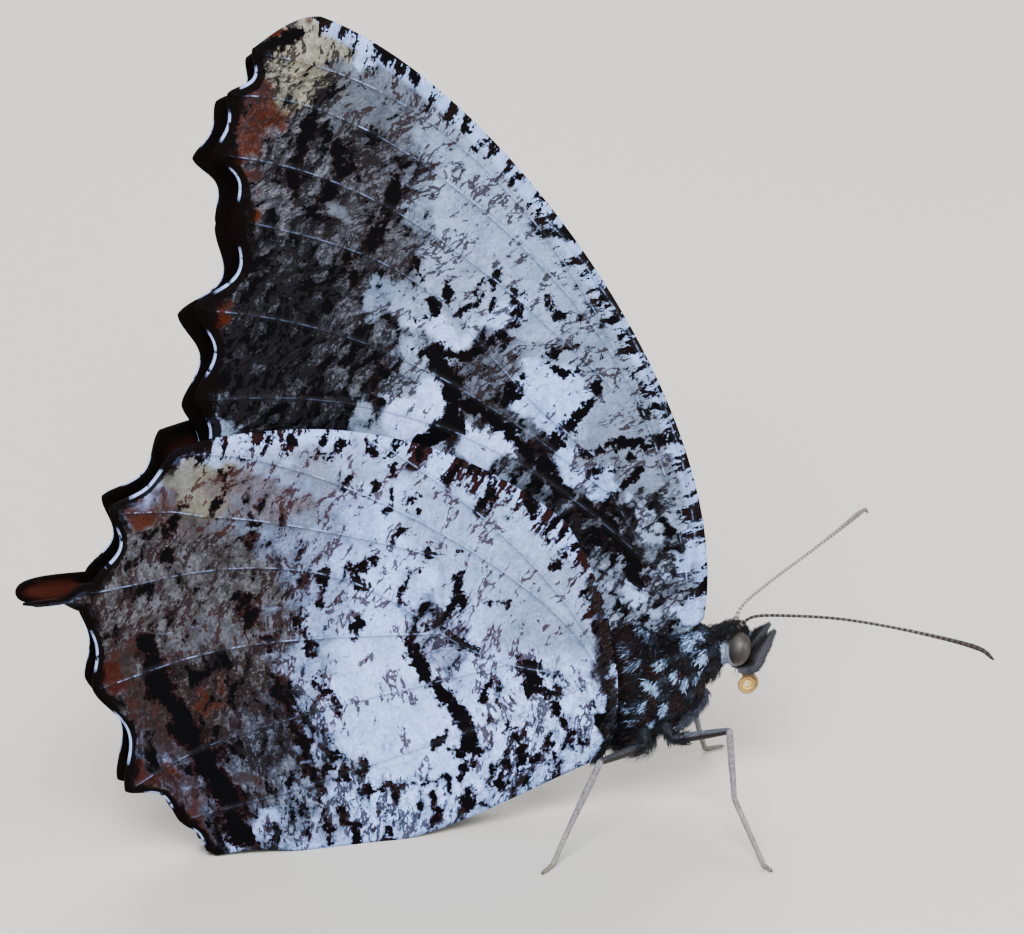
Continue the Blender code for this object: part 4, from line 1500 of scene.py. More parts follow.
def tube(path: np.ndarray, radii: np.ndarray, sides: int, across: float = 1.0) -> tuple[np.ndarray, list]:
    """A closed tube along a path, its ends drawn to a point.

    Args:
        path: The middle line.
        radii: A radius for each of its points.
        sides: Points round a ring.
        across: Width over height.

    Returns:
        Points and faces.
    """
    path = np.asarray(path, float)
    into = np.diff(path, axis=0, prepend=path[:1])
    into[0] = path[1] - path[0]
    into = unit(into)
    along = unit(into + np.vstack([into[1:], into[-1:]]))
    side = np.array((0.0, 1.0, 0.0))
    turn = np.linspace(0, 2 * math.pi, sides, endpoint=False)[:, None]
    points = []
    for place, way, radius in zip(path, along, radii):
        side = side - way * (side @ way)
        side /= np.linalg.norm(side)
        up = np.cross(way, side)
        points.append(place + radius * (np.cos(turn) * side * across + np.sin(turn) * up))
    ring = np.arange(sides)
    after = (ring + 1) % sides
    faces = []
    for i in range(len(path) - 1):
        a, b = i * sides + ring, i * sides + after
        faces += np.stack([b, a, a + sides, b + sides], 1).tolist()
    tip = len(path) * sides
    last = (len(path) - 1) * sides
    for k in range(sides):
        faces.append([tip, k, int(after[k])])
        faces.append([tip + 1, last + int(after[k]), last + k])
    return np.vstack([*points, path[:1], path[-1:]]), faces


def ringed(hue: np.ndarray, sides: int) -> np.ndarray:
    """A tube's colours from those of its path.

    Args:
        hue: A colour for each point of the path.
        sides: Points round a ring.

    Returns:
        A colour for each point of the tube.
    """
    return np.vstack([np.repeat(hue, sides, axis=0), hue[:1], hue[-1:]])


def alike(places: np.ndarray, way: Colour, lift: float, length: float, width: float) -> tuple:
    """The same lie at all places.

    Args:
        places: The roots.
        way: The direction that the hair is swept.
        lift: How steeply it stands off.
        length: Its length.
        width: Its width.

    Returns:
        Each of them for each root.
    """
    count = len(places)
    return np.tile(np.array(way), (count, 1)), *(np.full(count, size) for size in (lift, length, width))


@dataclass(frozen=True)
class Spot:
    """A patch of pale scales on the chest, as seen in the view."""

    x: float
    y: float
    rx: float
    ry: float
    turn: float = 20.0


@dataclass
class Body:
    """Chest, head and abdomen under one skin, with their coat of hair and scales."""

    camera: Camera
    lean: float = 50.0
    voxel: float = 0.13
    chest_middle: tuple[float, float] = (9.4, 7.1)
    chest_half: tuple[float, float, float] = (3.85, 2.15, 2.65)
    spots: tuple = (
        Spot(707, 637, 7, 9, -20),
        Spot(696, 649, 8, 7, 30),
        Spot(706, 661, 6, 7, 30),
        Spot(687, 634, 4.5, 8, 10),
        Spot(670, 631, 5, 6, 0),
        Spot(650, 637, 5, 9, -20),
        Spot(632, 654, 6, 8, -20),
        Spot(638, 667, 9, 4, -35),
        Spot(664, 666, 7, 4, -30),
        Spot(655, 687, 10, 5, 35),
        Spot(676, 676, 5, 4, 0),
        Spot(687, 684, 4, 6, 25),
        Spot(666, 709, 5, 8, 25),
        Spot(703, 678, 9, 3, -45),
        Spot(620, 637, 4, 6, 0),
        Spot(633, 709, 5, 6, 10),
        Spot(645, 707, 4, 5, 0),
        Spot(655, 726, 5, 4, 20),
        Spot(638, 724, 4, 4, 0),
        Spot(614, 668, 4, 6, 0),
        Spot(730, 634, 6, 4, -10),
        Spot(731, 639, 4, 5, 0),
    )

    def skin(self) -> None:
        """Joins rounded masses and melts them into one surface."""
        bpy.ops.object.select_all(action="DESELECT")
        lean = -math.radians(self.lean)
        masses = (
            ((9.4, 0, 7.1), (3.55, 1.95, 2.4), lean),
            ((8.2, 0, 9.0), (1.9, 1.35, 1.75), lean),
            ((11.7, 0, 8.7), (1.5, 1.45, 1.7), lean),
            ((12.9, 0, 8.75), (0.9, 0.85, 1.15), 0.0),
            ((13.85, 0, 8.9), (0.86, 0.95, 1.12), 0.0),
            ((14.2, 0, 8.2), (0.6, 0.6, 0.8), 0.0),
            ((6.2, 0, 6.9), (1.5, 1.3, 1.4), 0.0),
            ((7.5, 0, 10.0), (1.55, 0.95, 1.1), lean / 2),
            ((8.1, 0, 4.3), (1.2, 1.3, 0.9), 0.0),
        )
        for place, size, turn in masses:
            bpy.ops.mesh.primitive_uv_sphere_add(
                segments=48, ring_count=32, radius=1.0, location=place, rotation=(0, turn, 0), scale=size
            )
        steps, segments = 40, 7.5
        share = np.linspace(0, 1, steps)
        rings = 1 + 0.05 * np.sin(share * 2 * math.pi * segments)
        radii = np.interp(share, (0, 0.25, 0.5, 0.75, 1), (1.1, 1.28, 1.2, 0.88, 0.3)) * rings
        points, faces = tube(bezier(ABDOMEN, steps), radii, 28)
        mesh = bpy.data.meshes.new("abdomen")
        mesh.from_pydata(points.tolist(), [], faces)
        tail = bpy.data.objects.new("abdomen_form", mesh)
        bpy.context.scene.collection.objects.link(tail)
        for obj in bpy.context.scene.objects:
            obj.select_set(obj is tail or obj.name.startswith("Sphere"))
        bpy.context.view_layer.objects.active = tail
        bpy.ops.object.join()
        remesh = tail.modifiers.new("melt", "REMESH")
        remesh.mode = "VOXEL"
        remesh.voxel_size = self.voxel
        bpy.ops.object.modifier_apply(modifier="melt")
        relax = tail.modifiers.new("relax", "SMOOTH")
        relax.factor = 0.6
        relax.iterations = 7
        bpy.ops.object.modifier_apply(modifier="relax")
        count = len(tail.data.vertices)
        places = np.empty(count * 3)
        tail.data.vertices.foreach_get("co", places)
        self.places = places.reshape(-1, 3)
        self.quads = [list(p.vertices) for p in tail.data.polygons]
        normals = np.empty(count * 3)
        tail.data.vertices.foreach_get("normal", normals)
        self.normals = normals.reshape(-1, 3)
        bpy.data.objects.remove(tail)
        coat = {"coat": opaque(self.colour(self.places))}
        obj = add_mesh("body_skin", self.places, self.quads, self.finish("body_skin", 0.7), coat)
        self.unwrap(obj, self.places)
        settle(obj, "thorax", "thorax", "head", "abdomen")

    def finish(self, name: str, roughness: float) -> bpy.types.Material:
        """Hair and scales coloured by their attribute, with a fine grain.

        Args:
            name: The material's name.
            roughness: How matt it is.

        Returns:
            The material.
        """
        paint = Paint(name, roughness, Specular_IOR_Level=0.2)
        grain = paint.noise(paint.place(), 7.0, 3.0, Roughness=0.7)
        shade = grain.ramp(0.25, 0.75) * 0.7 + 0.62
        return paint.finish(paint.shaded(paint.colour("coat"), shade), grain, 0.00004)

    def colour(self, places: np.ndarray, spotted: bool = True) -> np.ndarray:
        """The coat's colour at places on the skin, the same on both sides.

        Args:
            places: X, Y and Z.
            spotted: Whether the pale spots are laid.

        Returns:
            Colours.
        """
        x, y, z = places.T
        wave = np.sin(3.1 * x + 1.7 * z) * np.sin(2.3 * z - 1.1 * x + 0.8)
        wave += 0.4 * np.sin(9.1 * x + 4.0 * z)
        cloud = np.sin(2.6 * z - 2.1 * x + 0.4) * np.sin(1.9 * x + 3.3 * z + 1.1)
        cloud += 0.5 * np.sin(7.7 * z - 3.1 * x)
        out = np.tile(np.array(rgb(15, 15, 24)), (len(x), 1))

        def lay(tone: Colour, cover: np.ndarray) -> None:
            """Lays a colour over what is there."""
            out[:] = out * (1 - cover[:, None]) + np.array(tone) * cover[:, None]

        lay(rgb(84, 100, 128), smooth(cloud, 0.2, 1.0) * 0.55)
        lay(rgb(66, 32, 32), smooth(wave, 0.1, 0.6) * smooth(-z, -9.8, -8.6) * 0.75)
        lay(rgb(60, 34, 32), smooth(-x, -8.6, -7.2) * smooth(z, 6.5, 8.5) * 0.7)
        lay(rgb(100, 109, 130), smooth(-z + 0.6 * (x - 9.4), -4.9, -3.4) * 0.75)
        lay(rgb(66, 58, 56), smooth(-x, -5.6, -4.8) * 0.9)
        lay(rgb(150, 152, 158), smooth(-x, -5.0, -4.0) * smooth(-z + 0.45 * x, -3.6, -2.6) * 0.8)
        seen = self.camera.onto(np.array([(s.x, s.y) for s in self.spots]), -1.7)
        for spot, (cx, cz) in zip(self.spots if spotted else (), seen):
            right, down = (x - cx) * self.camera.eighteenths, (cz - z) * self.camera.eighteenths
            ragged = in_ellipse(right, down, spot.rx, spot.ry, spot.turn)
            ragged += 0.22 * np.sin(7.3 * x + 5.1 * z) * np.sin(6.1 * z - 4.4 * x)
            lay(rgb(198, 210, 221), smooth(-ragged, -1.2, -0.75) * smooth(np.abs(y), 0.4, 0.7) * 0.95)
        ring = -np.abs(np.hypot((x - 13.92) / 0.86, (z - 8.82) / 1.15) - 1.0)
        lay(rgb(186, 194, 205), smooth(ring, -0.22, -0.12) * smooth(x, 12.6, 12.8) * smooth(-z, -9.5, -9.0))
        lay(rgb(16, 16, 22), smooth(z, 9.5, 9.9) * smooth(x, 12.6, 13.0) * smooth(-np.abs(y), -0.7, -0.5))
        return out

    def unwrap(self, obj: bpy.types.Object, places: np.ndarray) -> None:
        """Gives the skin a bake map: the right side in one half and the left in the other.

        Args:
            obj: The skin.
            places: Its points.
        """
        counts = np.array([p.loop_total for p in obj.data.polygons])
        side = np.array([places[list(p.vertices), 1].mean() for p in obj.data.polygons]) > 0
        lay_out(obj.data, self.flat(places[corners(obj.data)], np.repeat(side, counts)))
        LOG.info("skin: %d faces unwrapped", len(counts))

    def flat(self, places: np.ndarray, left: np.ndarray) -> np.ndarray:
        """Where places on the skin lie on its unwrap.

        Args:
            places: X, Y and Z.
            left: True for the left side.

        Returns:
            U and V.
        """
        u = (places[:, 0] + 7.0) / 23.0 * 0.48 + 0.01 + 0.5 * left
        bulge = 0.35 * np.abs(places[:, 1])
        v = (places[:, 2] + 1.0 + np.where(places[:, 2] > 6.5, -bulge, bulge)) / 14.0
        return np.column_stack([u, np.clip(v, 0.01, 0.99)])

    def on_chest(self, turn: float, y: float, out: float) -> np.ndarray:
        """A point off the chest, as the solids have it.

        Args:
            turn: Angle round Y from +X, in degrees.
            y: Its distance from the middle.
            out: Its distance from the chest.

        Returns:
            X, Y and Z.
        """
        a, lean = math.radians(turn), math.radians(self.lean)
        long, wide, thick = self.chest_half
        middle_x, middle_z = self.chest_middle
        ray = np.array((math.cos(a), math.sin(a)))
        along = np.array((math.cos(lean), math.sin(lean)))
        deep = np.array((-math.sin(lean), math.cos(lean)))
        reach = math.sqrt(1 - (y / wide) ** 2) / math.hypot(ray @ along / long, ray @ deep / thick)
        normal = along * (ray @ along) * reach / long**2 + deep * (ray @ deep) * reach / thick**2
        normal = np.array((normal[0], y / wide**2, normal[1]))
        normal /= np.linalg.norm(normal)
        return np.array((middle_x + ray[0] * reach, y, middle_z + ray[1] * reach)) + normal * out

    def roots(self, count: int, weight: Field, seed: int) -> tuple[np.ndarray, np.ndarray]:
        """Scatters places over the skin.

        Args:
            count: How many.
            weight: A function of places that says how thickly they lie.
            seed: For the scatter.

        Returns:
            Places and normals.
        """
        rng = np.random.default_rng(seed)
        quads = np.array([q if len(q) == 4 else q + q[-1:] for q in self.quads])
        corner = self.places[quads]
        area = np.linalg.norm(np.cross(corner[:, 2] - corner[:, 0], corner[:, 3] - corner[:, 1]), axis=1)
        chance = area * weight(corner.mean(1))
        pick = rng.choice(len(quads), count, p=chance / chance.sum())
        a, b = rng.random((2, count, 1))
        shares = np.stack([(1 - a) * (1 - b), a * (1 - b), a * b, (1 - a) * b], 1)
        return (corner[pick] * shares).sum(1), (self.normals[quads[pick]] * shares).sum(1)

    def coat(
        self, name: str, count: int, weight: Field, lie: Lie, seed: int, slot: str, spotted: bool = True
    ) -> None:
        """Makes one piece of the coat on the skin.

        Args:
            name: The piece's name.
            count: How many tufts.
            weight: A function of places that says how thickly they lie.
            lie: A function of places that gives direction, lift, length and width.
            seed: For the scatter.
            slot: The record's slot.
            spotted: Whether it shows the pale spots.
        """
        place, normal = self.roots(count, weight, seed)
        normal = unit(normal)
        self.tufts(name, place, normal, lie(place, normal), self.colour(place, spotted), seed, slot)

    def tufts(
        self,
        name: str,
        place: np.ndarray,
        normal: np.ndarray,
        lies: tuple,
        hue: np.ndarray,
        seed: int,
        slot: str,
    ) -> None:
        """Makes bent, tapered tufts that follow the lie.

        Args:
            name: The piece's name.
            place: Their roots.
            normal: Away from the skin there.
            lies: Direction, lift, length and width.
            hue: Their colours.
            seed: For the scatter.
            slot: The record's slot.
        """
        count = len(place)
        rng = np.random.default_rng(seed + 100)
        way, lift, length, width = lies
        way = way + rng.normal(0, 0.28, way.shape)
        way = unit(way - normal * (way * normal).sum(1)[:, None])
        lift = (lift * rng.uniform(0.6, 1.4, count))[:, None]
        length = (length * rng.uniform(0.65, 1.25, count))[:, None]
        width = (width * rng.uniform(0.7, 1.3, count))[:, None]
        rise = unit(way + normal * lift)
        fall = unit(way + normal * lift * 0.25)
        across = np.cross(way, normal)
        base = place - normal * 0.03
        knee = base + rise * length * 0.55
        tip = knee + fall * length * 0.45
        ring = []
        for centre, size in ((base, 1.0), (knee, 0.75)):
            for k in range(3):
                turn = 2 * math.pi * k / 3
                offset = across * math.cos(turn) + normal * math.sin(turn) * 0.5
                ring.append(centre + offset * width * size)
        points = np.stack([*ring, tip], 1).reshape(-1, 3)
        tuft = ((0, 1, 4, 3), (1, 2, 5, 4), (2, 0, 3, 5), (3, 4, 6), (4, 5, 6), (5, 3, 6), (0, 2, 1))
        faces = [[i * 7 + c for c in face] for i in range(count) for face in tuft]
        hue = hue * rng.uniform(0.6, 1.45, (count, 1))
        stray = rng.random(count)
        hue[stray < 0.03] = rgb(110, 122, 144)
        hue[stray > 0.93] = rgb(58, 32, 32)
        coat = {"coat": opaque(np.repeat(hue, 7, axis=0))}
        obj = add_mesh(name, points, faces, self.finish(name, 0.6), coat)
        loops = corners(obj.data)
        spot = self.flat(place, place[:, 1] > 0)
        patch = np.array([(0, 0), (6, 0), (3, 2), (0, 4), (6, 4), (3, 5), (3, 6)]) * 0.0005
        lay_out(obj.data, spot[loops // 7] + patch[loops % 7])
        settle(obj, slot)

    def cuffs(self) -> None:
        """Dark hair over the front edges of the hindwings, from the shoulder down."""
        rng = np.random.default_rng(17)
        count = 1500
        steps, up = 60, 34
        edges = [bezier(HIND_PLAN.edges[name], steps) for name in ("front", "shoulder")]
        line = np.vstack(edges)[: steps + up]
        at = line[rng.integers(0, len(line), count)] + rng.normal(0, 0.05, (count, 2))
        at[:, 0] -= rng.uniform(0.05, 0.5, count)
        reach = np.hypot(at[:, 0] - ABDOMEN[0][0], at[:, 1] - ABDOMEN[0][2])
        side = np.where(rng.random(count) < 0.5, -1.0, 1.0)
        out = 1.6 + SWELL * np.exp(-((reach / SWELL_REACH) ** 4))
        place = np.column_stack([at[:, 0], side * out, at[:, 1]])
        normal = np.column_stack([np.zeros(count), side, np.zeros(count)])
        lies = alike(place, (-0.8, 0.0, -0.5), 0.45, 0.42, 0.036)
        self.tufts("coat_cuffs", place, normal, lies, self.colour(place), 18, "thorax")

    def build(self) -> None:
        """Makes the skin and the coat."""
        self.skin()
        back = np.array((-0.75, 0.0, -0.65))

        def chest(p: np.ndarray) -> np.ndarray:
            """Thick on the chest, none where the eyes sit."""
            eye = np.hypot((p[:, 0] - 13.8) / 0.85, (p[:, 2] - 8.9) / 1.12)
            return smooth(p[:, 0], 4.4, 5.6) * smooth(eye + (np.abs(p[:, 1]) < 0.55), 0.9, 1.0) + 1e-6

        def chest_lie(p: np.ndarray, n: np.ndarray) -> tuple:
            """Hair swept back and down, longer below."""
            below = smooth(-p[:, 2] + 0.6 * (p[:, 0] - 9.4), -5.0, -3.0)
            head = smooth(p[:, 0], 12.5, 13.2)
            way = back * (1 - head[:, None]) + np.array((-0.2, 0.0, 0.4)) * head[:, None]
            length = 0.46 + 0.35 * below - 0.2 * head
            return way, 0.4 + 0.4 * below, length, np.full(len(p), 0.05) - 0.02 * below

        self.coat("coat_chest", 15000, chest, chest_lie, 3, "thorax")

        def tuft(p: np.ndarray) -> np.ndarray:
            """The crown between the eyes and the collar behind."""
            middle = smooth(-np.abs(p[:, 1]), -0.8, -0.5)
            return smooth(p[:, 2], 9.1, 9.6) * smooth(p[:, 0], 12.4, 13.0) * middle + 1e-6

        def tuft_lie(p: np.ndarray, n: np.ndarray) -> tuple:
            """Upright hair that leans forward over the brow."""
            return alike(p, (0.6, 0.0, 0.6), 1.6, 0.55, 0.028)

        self.coat("coat_crown", 1500, tuft, tuft_lie, 5, "head")

        def long_hair(p: np.ndarray) -> np.ndarray:
            """Loose long hair under the chest, at the wing roots and round the hips."""
            below = smooth(-p[:, 2] + 0.6 * (p[:, 0] - 9.4), -5.0, -3.4)
            above = smooth(p[:, 2], 8.6, 10.0) * smooth(-p[:, 0], -12.5, -10.5)
            rear = smooth(-p[:, 0], -8.4, -7.2)
            throat = smooth(p[:, 0], 10.9, 11.8) * smooth(-p[:, 0], -13.3, -12.8)
            throat *= smooth(-p[:, 2], -8.3, -7.6)
            return (below * 1.6 + above * 0.6 + rear + throat * 1.2) * smooth(p[:, 0], 4.9, 5.9) + 1e-6

        def long_lie(p: np.ndarray, n: np.ndarray) -> tuple:
            """Hair that stands off, longest low down and behind."""
            fore = smooth(p[:, 0], 10.9, 11.8)
            way = np.column_stack([-0.8 + 0.5 * fore, np.zeros(len(p)), -0.45 - 0.4 * fore])
            low = smooth(-p[:, 2], -5.4, -4.2) * smooth(-p[:, 0], -10.5, -9.0)
            return way, 0.75 + 0.3 * low, 0.8 + 0.35 * low, np.full(len(p), 0.024)

        self.coat("coat_long", 9000, long_hair, long_lie, 7, "thorax", False)

        def hinge(p: np.ndarray) -> np.ndarray:
            """Where the hindwings' front edges meet the chest."""
            aside = smooth(np.abs(p[:, 1]), 0.7, 1.1)
            return smooth(p[:, 0], 5.2, 6.0) * smooth(-p[:, 0], -8.6, -7.2) * aside + 1e-6

        def hinge_lie(p: np.ndarray, n: np.ndarray) -> tuple:
            """Long dark hair brushed back over the wings."""
            return alike(p, (-0.9, 0.0, -0.3), 0.75, 0.6, 0.036)

        self.coat("coat_hinge", 1800, hinge, hinge_lie, 8, "thorax")
        self.cuffs()

        def rear(p: np.ndarray) -> np.ndarray:
            """The abdomen."""
            return smooth(-p[:, 0], -5.6, -4.6) + 1e-6

        def rear_lie(p: np.ndarray, n: np.ndarray) -> tuple:
            """Short flat scales."""
            return alike(p, (-1.0, 0.0, -0.4), 0.14, 0.26, 0.05)

        self.coat("coat_abdomen", 6000, rear, rear_lie, 9, "abdomen")


@dataclass
class HeadParts:
    """Eyes, palps, tongue and antennae."""

    body: Body
    eye_centre: tuple[float, float] = (13.98, 8.88)
    eye_half: tuple[float, float] = (0.74, 1.0)
    eye_face: float = 0.62
    eye_bulge: float = 1.0

    def eye(self, name: str, side: float) -> None:
        """One faceted eye, set into the head.

        Args:
            name: The node.
            side: -1 on the right and 1 on the left.
        """
        bpy.ops.object.select_all(action="DESELECT")
        place = (self.eye_centre[0], side * self.eye_face, self.eye_centre[1])
        size = (self.eye_half[0], self.eye_bulge, self.eye_half[1])
        tilt = (0, math.radians(12), 0)
        bpy.ops.mesh.primitive_uv_sphere_add(
            segments=64, ring_count=40, radius=1.0, location=place, rotation=tilt, scale=size
        )
        ball = bpy.context.active_object
        bpy.ops.object.transform_apply(location=True, rotation=True, scale=True)
        points = np.array([tuple(v.co) for v in ball.data.vertices])
        faces = [list(p.vertices) for p in ball.data.polygons]
        bpy.data.objects.remove(ball)
        paint = Paint(name + "_facets", 0.34, Specular_IOR_Level=0.35, Coat_Weight=0.12, Coat_Roughness=0.15)
        spot = paint.place()
        height = paint.node("ShaderNodeSeparateXYZ", {}, {0: spot}, "Z")
        streak = paint.noise(paint.stretch(spot, (5.0, 1.0, 0.6)), 1.0, 3.0)
        high = (height + (streak - 0.5) * 0.5).ramp(8.4, 9.6)
        colour = paint.mix(high, rgb(46, 30, 31), rgb(92, 87, 82))
        colour = (streak.ramp(0.5, 0.66) * 0.55).over(colour, rgb(44, 36, 38))
        dx = (points[:, 0] - self.eye_centre[0]) / self.eye_half[0]
        dz = (points[:, 2] - self.eye_centre[1]) / self.eye_half[1]
        pale = smooth(np.hypot(dx, dz), 0.86, 0.93) * smooth(-0.75 * dx - 0.65 * dz, 0.25, 0.6)
        colour = paint.colour("rim").over(colour, rgb(178, 184, 194))
        facets = paint.cells(spot, 26.0)
        rim = {"rim": opaque(np.column_stack([pale] * 3))}
        obj = add_mesh(name + "_dome", points, faces, paint.finish(colour, facets, 0.000012), rim)
        settle(obj, "eye", name)

    def palp(self, name: str, side: float) -> None:
        """One palp, flattened and shaggy along its upper edge.

        Args:
            name: The node.
            side: -1 on the right and 1 on the left.
        """
        path = curve_through(
            (
                (14.0, side * 0.6, 7.55),
                (14.75, side * 0.74, 7.75),
                (15.2, side * 0.7, 8.45),
                (15.72, side * 0.6, 9.1),
                (16.25, side * 0.5, 9.7),
            ),
            10,
        )
        share = np.linspace(0, 1, len(path))
        radii = np.interp(share, (0, 0.1, 0.35, 0.65, 0.88, 1), (0.2, 0.34, 0.48, 0.35, 0.15, 0.04))
        sides = 18
        points, faces = tube(path, radii, sides, 0.62)
        centre = np.repeat(path, sides, axis=0)
        off = points[: len(centre)] - centre
        rise = np.zeros(len(points))
        rise[: len(centre)] = off[:, 2] - off[:, 0]
        dark = smooth(rise, 0.1, 0.3)[:, None]
        hue = np.array(rgb(116, 118, 128)) * (1 - dark) + np.array(rgb(36, 34, 40)) * dark
        obj = add_mesh(name + "_flesh", points, faces, self.body.finish(name, 0.65), {"coat": opaque(hue)})
        settle(obj, "palp", name)
        rng = np.random.default_rng(11)
        count = 1800
        pick = rng.integers(sides * 4, sides * (len(path) - 2), count)
        root = points[pick]
        out = unit(root - centre[pick])
        step = pick // sides
        way = unit(path[np.minimum(step + 1, len(path) - 1)] - path[step - 1])
        top = dark[pick, 0][:, None]
        length = (0.26 + 0.12 * top) * (1.35 - 0.85 * share[step][:, None])
        length = length * rng.uniform(0.6, 1.3, (count, 1))
        across = np.cross(way, out) * 0.025
        tip = root + (way + out * (0.35 + 0.15 * top) + rng.normal(0, 0.12, (count, 3))) * length
        low = root - out * 0.03
        spikes = np.stack([low + across, low - across, root + out * 0.02, tip], 1).reshape(-1, 3)
        spike = ((0, 1, 3), (1, 2, 3), (2, 0, 3), (0, 2, 1))
        spike_faces = [[i * 4 + c for c in face] for i in range(count) for face in spike]
        hair = hue[pick] * rng.uniform(0.75, 1.3, (count, 1))
        coat = {"coat": opaque(np.repeat(hair, 4, axis=0))}
        shag = add_mesh(name + "_shag", spikes, spike_faces, self.body.finish(name + "_shag", 0.6), coat)
        loops = np.arange(len(spike_faces) * 3)
        where = np.stack([step / len(path) * 0.9 + 0.02, (pick % sides) / sides * 0.9 + 0.02], 1)
        patch = np.array([(0, 0), (0.003, 0), (0.0015, 0.003)])
        lay_out(shag.data, where[loops // 12] + patch[loops % 3])
        settle(shag, "palp")

    def tongue(self) -> None:
        """The coiled tongue under the head."""
        turn = np.linspace(0, 2 * math.pi * 2.6, 130)
        reach = np.interp(turn, (0, turn[-1]), (0.6, 0.1))
        angle = 1.9 - turn
        across, up = reach * np.cos(angle), reach * np.sin(angle)
        coil = np.stack([14.75 + across, 0.02 * np.sin(3 * turn), 6.35 + up], 1)
        start = curve_through(((14.2, 0, 8.0), (14.36, 0, 7.5), (14.45, 0, 7.2), tuple(coil[0])), 8)[:-1]
        path = np.vstack([start, coil])
        radii = np.interp(np.linspace(0, 1, len(path)), (0, 0.2, 0.9, 1), (0.1, 0.12, 0.09, 0.05))
        radii = radii * (1 + 0.06 * np.sin(np.arange(len(path)) * 2.2))
        sides = 12
        points, faces = tube(path, radii, sides, 1.5)
        # Tan at the stem, paling along the coil; the pale centre of the coil is a painted highlight.
        share = np.clip((np.arange(len(path)) - len(start)) / len(coil), 0, 1)[:, None]
        hue = np.array(rgb(172, 144, 106)) * (1 - share) + np.array(rgb(221, 212, 170)) * share
        coat = {"coat": opaque(ringed(hue, sides))}
        obj = add_mesh("tongue_coil", points, faces, self.body.finish("tongue", 0.35), coat)
        settle(obj, "proboscis", "proboscis")

    def antenna(self, name: str, places: tuple, pale: float, base: Colour) -> None:
        """One ringed antenna with a slight club.

        Args:
            name: The node.
            places: The points that it passes through.
            pale: How pale its rings are.
            base: The colour between them.
        """
        step, segment, sides = 0.06, 0.33, 12
        path = resampled(curve_through(places, 12), step)
        share = np.linspace(0, 1, len(path))
        stations = (0, 0.02, 0.05, 0.6, 0.78, 0.92, 0.98, 1)
        radii = np.interp(share, stations, (0.15, 0.15, 0.09, 0.085, 0.11, 0.145, 0.11, 0.04))
        phase = (np.arange(len(path)) * step / segment) % 1.0
        radii = radii * (1 + 0.1 * np.exp(-(((phase - 0.85) / 0.12) ** 2)))
        points, faces = tube(path, radii, sides)
        ring = np.exp(-(((phase - 0.3) / 0.2) ** 2)) * pale * np.interp(share, (0, 0.7, 0.85), (1, 1, 0.25))
        hue = np.array(base) * (1 - ring[:, None]) + np.array(rgb(206, 203, 202)) * ring[:, None]
        coat = {"coat": opaque(ringed(hue, sides))}
        obj = add_mesh(name + "_rings", points, faces, self.body.finish(name, 0.5), coat)
        settle(obj, "antenna", name)

    def build(self) -> None:
        """Makes the parts of the head."""
        near = (
            (14.1, -0.4, 10.05), (14.75, -1.2, 10.95), (16.4, -2.6, 11.4), (19.0, -4.6, 11.7),
            (22.2, -7.0, 11.6), (25.2, -9.2, 11.2), (26.1, -9.9, 10.6),
        )
        far = (
            (14.1, 0.4, 10.05), (15.0, 1.5, 10.6), (17.6, 4.2, 10.7), (20.6, 7.2, 10.7),
            (23.2, 9.6, 10.9), (25.0, 11.2, 11.1), (25.4, 11.5, 10.8),
        )
        self.eye("eye_right", -1.0)
        self.eye("eye_left", 1.0)
        self.palp("palp_right", -1.0)
        self.palp("palp_left", 1.0)
        self.tongue()
        self.antenna("antenna_right", near, 0.3, rgb(54, 38, 34))
        self.antenna("antenna_left", far, 0.95, rgb(150, 140, 137))


